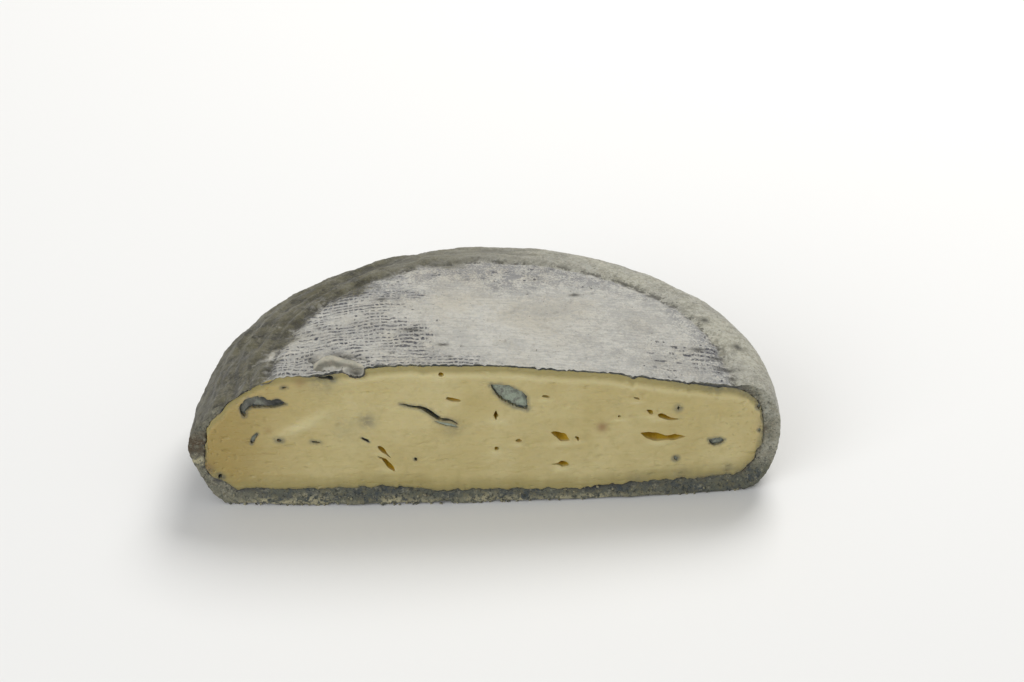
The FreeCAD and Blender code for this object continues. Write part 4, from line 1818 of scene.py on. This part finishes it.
        def place(share: float, round_share: float) -> Vector:
            """A point of the hollow's skin.

            Args:
                share: How far along the hollow.
                round_share: How far round it.

            Returns:
                The point.
            """
            station = glide(line, share)
            ahead = glide(line, min(1.0, share + 0.02)) - glide(line, max(0.0, share - 0.02))
            heading = Vector((ahead.x, 0.0, ahead.z)).normalized()
            across = Vector((-heading.z, 0.0, heading.x))
            half = max(0.06, station.y) * width
            end = math.sqrt(max(0.0, 1.0 - abs(2.0 * share - 1.0) ** 6))
            centre = Vector((station.x, 0.0, station.z))
            centre += heading * (0.55 * half * (1.0 - end) * (1.0 if share > 0.5 else -1.0))
            angle = 2.0 * math.pi * round_share
            folded = angle if angle < math.pi else 2.0 * math.pi - angle
            coarse = wave(centre.x * 0.9 + math.cos(angle), centre.z * 0.9, math.sin(angle) * 1.3)
            fine = wave(centre.x * 2.6, centre.z * 2.6, folded * 2.0)
            torn = 1.0 + rough * (0.20 * coarse + fine_tear * fine)
            deep = hollow.depth * (0.3 + 0.7 * half / widest)
            spread = across * (half * shrink * end * torn * math.cos(angle))
            inward = Vector((0.0, deep * shrink * end * torn * math.sin(angle), 0.0))
            face = self.surface_y(centre.x, centre.z)
            return centre + spread + inward + Vector((0.0, face + shift + 0.06 * deep, 0.0))

        form = sheet(max(10, round(length / self.step)), self.around, place)
        close_up(form, 0.002)
        return form

    def carve(self, slab: bpy.types.Object, tools: bpy.types.Object) -> Form:
        """Cut the hollows out of the slab.

        Args:
            slab: The paste; it is removed.
            tools: All hollows as one object; it is removed.

        Returns:
            The cut mesh.
        """
        cutter = slab.modifiers.new("hollows", "BOOLEAN")
        cutter.operation = "DIFFERENCE"
        cutter.solver = "MANIFOLD"
        cutter.object = tools
        bpy.context.view_layer.update()
        graph = bpy.context.evaluated_depsgraph_get()
        mesh = bpy.data.meshes.new_from_object(slab.evaluated_get(graph))
        form = bmesh.new()
        form.from_mesh(mesh)
        bpy.data.meshes.remove(mesh)
        bmesh.ops.remove_doubles(form, verts=form.verts, dist=self.merge)
        bmesh.ops.triangulate(form, faces=form.faces, quad_method="BEAUTY", ngon_method="BEAUTY")
        doubled = [edge for edge in form.edges if len(edge.link_faces) > 2]
        bmesh.ops.collapse(form, edges=doubled, uvs=False)
        for item in (slab, tools):
            mesh = item.data
            bpy.data.objects.remove(item)
            bpy.data.meshes.remove(mesh)
        return form

    def mould_stain(self, x: float, z: float, depth: float) -> float:
        """How blue the paste is at a place.

        Args:
            x: Place across the cut.
            z: Height.
            depth: Depth behind the face.

        Returns:
            A share of 0 to 1.
        """
        stain = strongest(STAINS, x, z)
        for hollow in HOLLOWS:
            if hollow.lining is not Lining.PASTE and hollow.near(x):
                away = hollow.distance(x, z)
                spread = 0.6 * smooth(max(0.15, hollow.stain), 0.0, away) ** 1.5
                stain = max(stain, spread, smooth(0.1, 0.5, depth) * smooth(0.8, 0.3, away))
        top = self.edge.top_at(x) - z
        bottom = z - self.edge.bottom_at(x)
        right = 0.50 * smooth(1.9, 0.0, min(top, bottom, self.edge.right - x)) * smooth(34.0, 50.0, x)
        left = 0.35 * smooth(1.2, 0.0, min(bottom, x - self.edge.left)) * smooth(20.0, -20.0, x)
        return max(stain, right, left)

    def painted_highlight(self, x: float, z: float) -> float:
        """Strength of the painted highlight on the paste's lips, its slanting fold and the line below its top
        edge.

        Args:
            x: Place across the cut.
            z: Height.

        Returns:
            A strength from 0.
        """
        top = self.edge.top_at(x) - z
        # A painted highlight line just below the top edge, one on the slanting fold and one on the lip below
        # each bare hole.
        along = smooth(-38.0, -20.0, x) * (0.9 - 0.5 * smooth(36.0, 52.0, x))
        edge = bell(top - 2.2 - 0.3 * wave(x * 0.15, 0.0, 35.0), 0.6) * along
        painted_highlight = max(edge, 1.3 * self.fold(x, z, 20.5, 1.5))
        for aside, up, size in self.lips_near(x, z):
            painted_highlight = max(painted_highlight, 0.9 * bell(aside, 1.5 * size) * bell(up + 0.95 * size, 0.45 * size))
        return painted_highlight

    def mark(self, form: Form) -> None:
        """Write where the looks change.

        Args:
            form: The carved paste.
        """
        layers = mask_layers(form, PASTE_MASKS)
        bare = [hollow for hollow in HOLLOWS if hollow.lining is Lining.PASTE]
        for vert in form.verts:
            x, y, z = vert.co
            depth = y - self.surface_y(x, z)
            top = self.edge.top_at(x) - z
            bottom = z - self.edge.bottom_at(x)
            # Just below the rind: partly the olive creamline, partly painted shade from the rind's overhang.
            # Near the bottom edge the paste is made darker.
            creamline_and_shade = 0.85 * (1.0 - smooth(0.9, 1.9, top + 0.5 * wave(x * 0.3, 0.0, 33.0)))
            foot = 0.85 * (1.0 - smooth(0.6, 4.4, bottom + 0.8 * wave(x * 0.2, 0.0, 34.0)))
            hole = max((smooth(0.7, 0.2, hollow.distance(x, z)) for hollow in bare if hollow.near(x)),
                       default=0.0)
            write(vert, layers, {
                "edge": max(creamline_and_shade, foot), "hole": smooth(0.25, 0.9, depth) * hole,
                "stain": self.mould_stain(x, z, depth), "painted_highlight": self.painted_highlight(x, z),
                "brown": strongest(BROWNS, x, z),
                "ripe": 0.85 * smooth(-30.0, -58.0, x) + 0.30 * smooth(52.0, 60.0, x)})

    def build(self) -> Form:
        """Make the paste with its hollows.

        Returns:
            The mesh with its masks.
        """
        tools = bmesh.new()
        for hollow in HOLLOWS:
            pour(self.hollow(hollow), tools)
        slab = put("slab", as_mesh(self.slab(), "slab"))
        form = self.carve(slab, put("hollows", as_mesh(tools, "hollows")))
        self.mark(form)
        return form

    def dress(self, effects: Effects) -> bpy.types.Object:
        """Build and finish the piece."""
        finish = PasteFinish("soft_paste", roughness=0.42, specular=0.4, glow=0.3,
                             glow_depth=(1.6, 1.0, 0.35))
        return self.settle(self.build(), finish.make(effects))


@dataclass
class MouldLining(Piece):
    """Blue mould in the pockets."""

    title: str = "mould_lining"
    slot: Slot = Slot.MOULD
    fill: float = 0.55
    recess: float = 0.26

    def build(self, paste: Paste) -> Form:
        """Make a lumpy bed at the back of each mouldy pocket.

        Args:
            paste: The paste, whose face the beds lie behind.

        Returns:
            The mesh with its masks.
        """
        form = bmesh.new()
        for hollow in HOLLOWS:
            if hollow.lining is Lining.MOULD:
                body = paste.hollow(hollow, shift=self.fill * hollow.depth, shrink=1.02, rough=0.6)
                for vert in body.verts:
                    x, y, z = vert.co
                    lumps = 0.20 * wave(x * 1.4, 0.0, z * 1.4) + 0.10 * wave(x * 3.5, 1.0, z * 3.5)
                    vert.co.y = max(y, paste.surface_y(x, z) + (self.recess + 0.5 * lumps) * hollow.depth)
                self.mark(body, hollow)
                pour(body, form)
        return form

    @staticmethod
    def mark(body: Form, hollow: Hollow) -> None:
        """Paint shade on a bed's rim and its upper right, add dark blots, and say how pale it is.

        Args:
            body: The bed.
            hollow: The pocket that it lies in.
        """
        layers = mask_layers(body, BED_MASKS)
        middle = sum((vert.co for vert in body.verts), Vector()) / len(body.verts)
        plain = 1.0 - hollow.pale
        for vert in body.verts:
            x, _, z = vert.co
            uneven = 0.25 + 0.75 * smooth(-0.2, 0.4, wave(x * 0.7, 3.0, z * 0.7))
            aside = ((x - middle.x) + 1.3 * (z - middle.z)) / (0.8 * hollow.depth)
            upper_right_shade = (0.85 - 0.1 * hollow.pale) * smooth(0.1 + 0.1 * hollow.pale, 0.9, aside)
            upper_right_shade *= uneven if hollow.pale > 0.5 else 1.0
            rim = (0.85 - 0.65 * hollow.pale) * smooth(0.5, 0.05, -hollow.distance(x, z)) * uneven
            blot = 0.6 * smooth(0.05, 0.35, wave(x * 0.55, 8.0, z * 0.75)) * plain
            write(vert, layers, {"shade": max(rim, upper_right_shade, blot), "pale": hollow.pale})

    def dress(self, paste: Paste, effects: Effects) -> bpy.types.Object:
        """Build and finish the piece."""
        finish = MouldFinish("blue_mould_down", roughness=0.95, specular=0.1, sheen=0.35)
        return self.settle(self.build(paste), finish.make(effects))


@dataclass
class RindTongue(Piece):
    """The torn roll of rind that lies along the top edge and hangs over the paste.

    Each rib is five points (x, y, z) from behind the roll to its lip.
    """

    title: str = "rind_tongue"
    thickness: float = 0.5
    segments: tuple[int, int] = (64, 26)
    ribs: tuple[tuple[Triple, ...], ...] = (
        ((-35.0, 5.2, 31.7), (-34.9, 3.9, 32.1), (-34.8, 2.9, 32.3),
         (-34.8, 1.9, 32.1), (-34.7, 1.0, 31.7)),
        ((-33.5, 5.9, 32.2), (-33.3, 4.4, 33.5), (-33.2, 3.1, 33.7),
         (-33.2, 1.9, 33.2), (-33.1, 0.8, 32.6)),
        ((-31.9, 6.2, 32.4), (-31.7, 4.7, 34.0), (-31.6, 3.4, 34.2),
         (-31.5, 1.9, 33.6), (-31.4, 0.5, 32.8)),
        ((-29.9, 5.8, 32.3), (-30.0, 4.3, 34.2), (-30.1, 2.9, 34.2),
         (-30.1, 1.4, 33.6), (-30.2, 0.0, 32.7)),
        ((-28.1, 5.0, 32.2), (-28.3, 3.4, 34.0), (-28.5, 2.0, 34.0),
         (-28.7, 0.8, 33.6), (-29.0, -0.3, 33.0)),
        ((-26.8, 4.2, 32.1), (-27.0, 2.9, 34.1), (-27.1, 1.6, 34.2),
         (-27.5, -0.1, 33.9), (-28.2, -0.9, 33.1)),
        ((-25.9, 3.2, 32.0), (-26.0, 2.1, 34.0), (-26.1, 0.7, 34.1),
         (-26.5, -0.75, 32.9), (-27.1, -1.3, 32.8)),
        ((-25.1, 2.2, 32.0), (-25.1, 1.3, 33.9), (-25.1, 0.2, 33.9),
         (-25.3, -0.8, 32.6), (-25.8, -1.4, 32.6)),
        ((-24.4, 1.4, 32.2), (-24.3, 0.7, 33.7), (-24.2, -0.2, 33.7),
         (-24.3, -0.9, 33.1), (-24.6, -1.4, 32.8)))

    def build(self) -> Form:
        """Make the roll as a thick sheet over its ribs.

        Returns:
            The mesh with its masks.
        """
        nets = [[Vector(point) for point in rib] for rib in self.ribs]

        def place(share: float, side: float) -> Vector:
            """A point of the sheet.

            Args:
                share: How far along the tongue.
                side: How far from behind the roll to its lip.

            Returns:
                The point.
            """
            point = glide([glide(rib, side) for rib in nets], share)
            scallop = 0.6 * wave(share * 11.0, 0.0, 3.0) + 0.3 * wave(share * 27.0, 0.0, 5.0)
            scallop *= smooth(0.6, 1.0, side)
            return point + Vector((0.25 * scallop, 0.0, scallop))

        form = sheet(*self.segments, place)
        form.normal_update()
        if sum(face.normal.z for face in form.faces) < 0.0:
            bmesh.ops.reverse_faces(form, faces=form.faces)
        bmesh.ops.solidify(form, geom=form.faces, thickness=self.thickness)
        close_up(form)
        form.normal_update()
        self.mark(form)
        return form

    @staticmethod
    def mark(form: Form) -> None:
        """Roughen the roll and write where shade is painted on it.

        Args:
            form: The roll, with its normals.
        """
        layers = mask_layers(form, SKIN_MASKS)
        sharp = {vert for edge in form.edges if edge.calc_face_angle(0.0) > 1.0 for vert in edge.verts}
        for vert in form.verts:
            x, y, z = vert.co
            rough = 0.09 * wave(x * 0.9, y * 0.9, z * 0.9) + 0.05 * wave(x * 3.0, y * 3.0, z * 3.0)
            vert.co += vert.normal * rough
            # Painted shade: on its down-facing side, behind its ridge, on its front below the ridge, in the
            # curl's trough and along its sharp lower edges.
            under = smooth(0.1, -0.5, vert.normal.z) * smooth(0.5, 0.0, -vert.normal.y)
            ridge = 3.7 - 0.45 * max(0.0, x + 31.5) - 0.2 * max(0.0, -31.5 - x)
            lip_y = 0.5 - 0.55 * smooth(-31.5, -29.0, x) - 1.2 * smooth(-29.5, -26.5, x)
            lip = smooth(1.2, 0.6, y - lip_y) * smooth(-33.4, -32.2, x)
            back = smooth(0.25, 1.2, y - ridge + 0.25 * wave(x * 0.8, 0.0, 5.0))
            back *= 0.55 + 0.45 * smooth(-32.0, -29.0, x)
            front = 0.60 * smooth(0.4, 1.3, ridge - y + 0.3 * wave(x * 0.9, 0.0, 6.0)) * (1.0 - lip)
            curl_shade = 0.9 * bell(x + 26.0, 1.6) * bell(y + 0.7, 0.45)
            edge_shade = 0.95 if vert in sharp and y < 1.6 else 0.0
            write(vert, layers, {"crown": 1.0, "warm": 1.0 - 0.7 * lip,
                                 "low": max(under, back, front, curl_shade, edge_shade)})

    def dress(self, material: bpy.types.Material) -> bpy.types.Object:
        """Build the piece and give it the skin's finish."""
        return self.settle(self.build(), material)


@dataclass
class BaseCrumbs(Piece):
    """Crumbs of rind along the foot of the cut."""

    title: str = "base_crumbs"
    count: int = 170
    seed: int = 11
    unevenness: float = 0.08

    def build(self) -> Form:
        """Scatter small uneven grains along the lower edge of the cut.

        Returns:
            The mesh with its masks.
        """
        chance = random.Random(self.seed)
        form = bmesh.new()
        for _ in range(self.count):
            x = chance.uniform(-FORM.foot_radius, FORM.foot_radius) * 0.985
            size = chance.uniform(0.16, 0.42)
            z = chance.choice((chance.uniform(0.1, 0.5), chance.uniform(0.2, 3.2)))
            y = FORM.cut_y(x, z) + chance.uniform(-0.05, 0.25)
            made = bmesh.ops.create_icosphere(form, subdivisions=1, radius=size)
            angle = chance.uniform(0.0, 6.3)
            turn = Matrix.Rotation(angle, 4, Vector((chance.random(), chance.random(), 1.0)))
            shape = (chance.uniform(0.8, 1.7), chance.uniform(0.6, 1.1), chance.uniform(0.5, 1.0), 1.0)
            shift = Matrix.Translation((x, y, max(z, 0.5 * size)))
            bmesh.ops.transform(form, matrix=shift @ turn @ Matrix.Diagonal(shape), verts=made["verts"])
        layers = mask_layers(form, CUT_MASKS)
        for vert in form.verts:
            x, y, z = (3.0 * value for value in vert.co)
            vert.co += Vector((wave(x, y, z), wave(x, y, z + 5.0), wave(x + 5.0, y, z))) * self.unevenness
            write(vert, layers, {"cream": 0.45, "pale": 0.2})
        return form

    def dress(self, material: bpy.types.Material) -> bpy.types.Object:
        """Build the piece and give it the cut rind's finish."""
        return self.settle(self.build(), material)


@dataclass
class Studio:
    """Pale floor, soft light and the camera."""

    camera_place: Triple = (-14.272, -449.881, 320.808)
    camera_turn: Triple = (58.0, 0.0, math.degrees(-0.0464))
    lens: float = 90.0
    sensor: float = 36.0
    aim: Triple = (0.0, 0.02, 0.015)
    floor_radius: float = 6.0
    surroundings: tuple[float, float] = (0.42, 0.85)

    def floor(self) -> None:
        """Lay the pale floor."""
        material = bpy.data.materials.new("pale_floor")
        material.use_nodes = True
        bench = Bench(material.node_tree)
        shader = bench.add("ShaderNodeBsdfPrincipled", {
            "Roughness": 0.85, "Base Color": (0.78, 0.78, 0.77, 1.0), "Specular IOR Level": 0.2})
        bench.add("ShaderNodeOutputMaterial", {"Surface": shader.outputs[0]})
        form = bmesh.new()
        bmesh.ops.create_circle(form, cap_ends=True, segments=96, radius=self.floor_radius)
        mesh = as_mesh(form, "floor")
        mesh.materials.append(material)
        put("floor", mesh)

    def lamp(self, name: str, place: Triple, size: float, power: float,
             colour: Triple) -> None:
        """Hang a square soft lamp that faces the cheese.

        Args:
            name: The lamp's name.
            place: Where it hangs, in metres.
            size: Its side in metres.
            power: Its power in watts.
            colour: Its colour.
        """
        light = bpy.data.lights.new(name, "AREA")
        light.size = size
        light.energy = power
        light.color = colour
        lamp = put(name, light)
        lamp.location = place
        lamp.rotation_euler = (Vector(self.aim) - Vector(place)).to_track_quat("-Z", "Y").to_euler()

    def world(self) -> None:
        """Even pale surroundings."""
        world = bpy.data.worlds.new("studio")
        world.use_nodes = True
        bench = Bench(world.node_tree)
        path = bench.add("ShaderNodeLightPath").outputs["Is Camera Ray"]
        lit, seen = self.surroundings
        strength = bench.add("ShaderNodeMix", {0: path, 2: lit, 3: seen}, data_type="FLOAT").outputs[0]
        background = bench.add("ShaderNodeBackground", {"Color": (1.0, 1.0, 1.0, 1.0), "Strength": strength})
        bench.add("ShaderNodeOutputWorld", {"Surface": background.outputs[0]})
        bpy.context.scene.world = world

    def camera(self) -> None:
        """Set the camera up."""
        camera = bpy.data.cameras.new("camera")
        camera.lens = self.lens
        camera.sensor_width = self.sensor
        camera.clip_start = 0.01
        item = put("camera", camera)
        item.location = Vector(self.camera_place) * UNIT
        item.rotation_euler = [math.radians(value) for value in self.camera_turn]
        bpy.context.scene.camera = item

    def build(self) -> None:
        """Set the whole studio up."""
        self.floor()
        self.world()
        self.lamp("key", (0.28, 0.55, 0.75), 0.5, 7.0, (1.0, 0.985, 0.96))
        self.lamp("fill", (-0.7, -0.9, 0.7), 1.0, 9.0, (0.97, 0.985, 1.0))
        self.camera()
        bpy.context.scene.view_settings.view_transform = "Standard"


def main() -> None:
    """Build the cheese piece by piece."""
    logging.basicConfig(level=logging.INFO, format="%(message)s")
    studio = Studio()
    studio.build()
    effects = Effects()
    skin = RindSkin()
    outside = skin.dress(effects)
    paste = Paste()
    cut = CutRind().dress(skin, paste.edge, effects)
    paste.dress(effects)
    MouldLining().dress(paste, effects)
    RindTongue().dress(outside.data.materials[0])
    BaseCrumbs().dress(cut.data.materials[0])


if __name__ == "__main__":
    main()
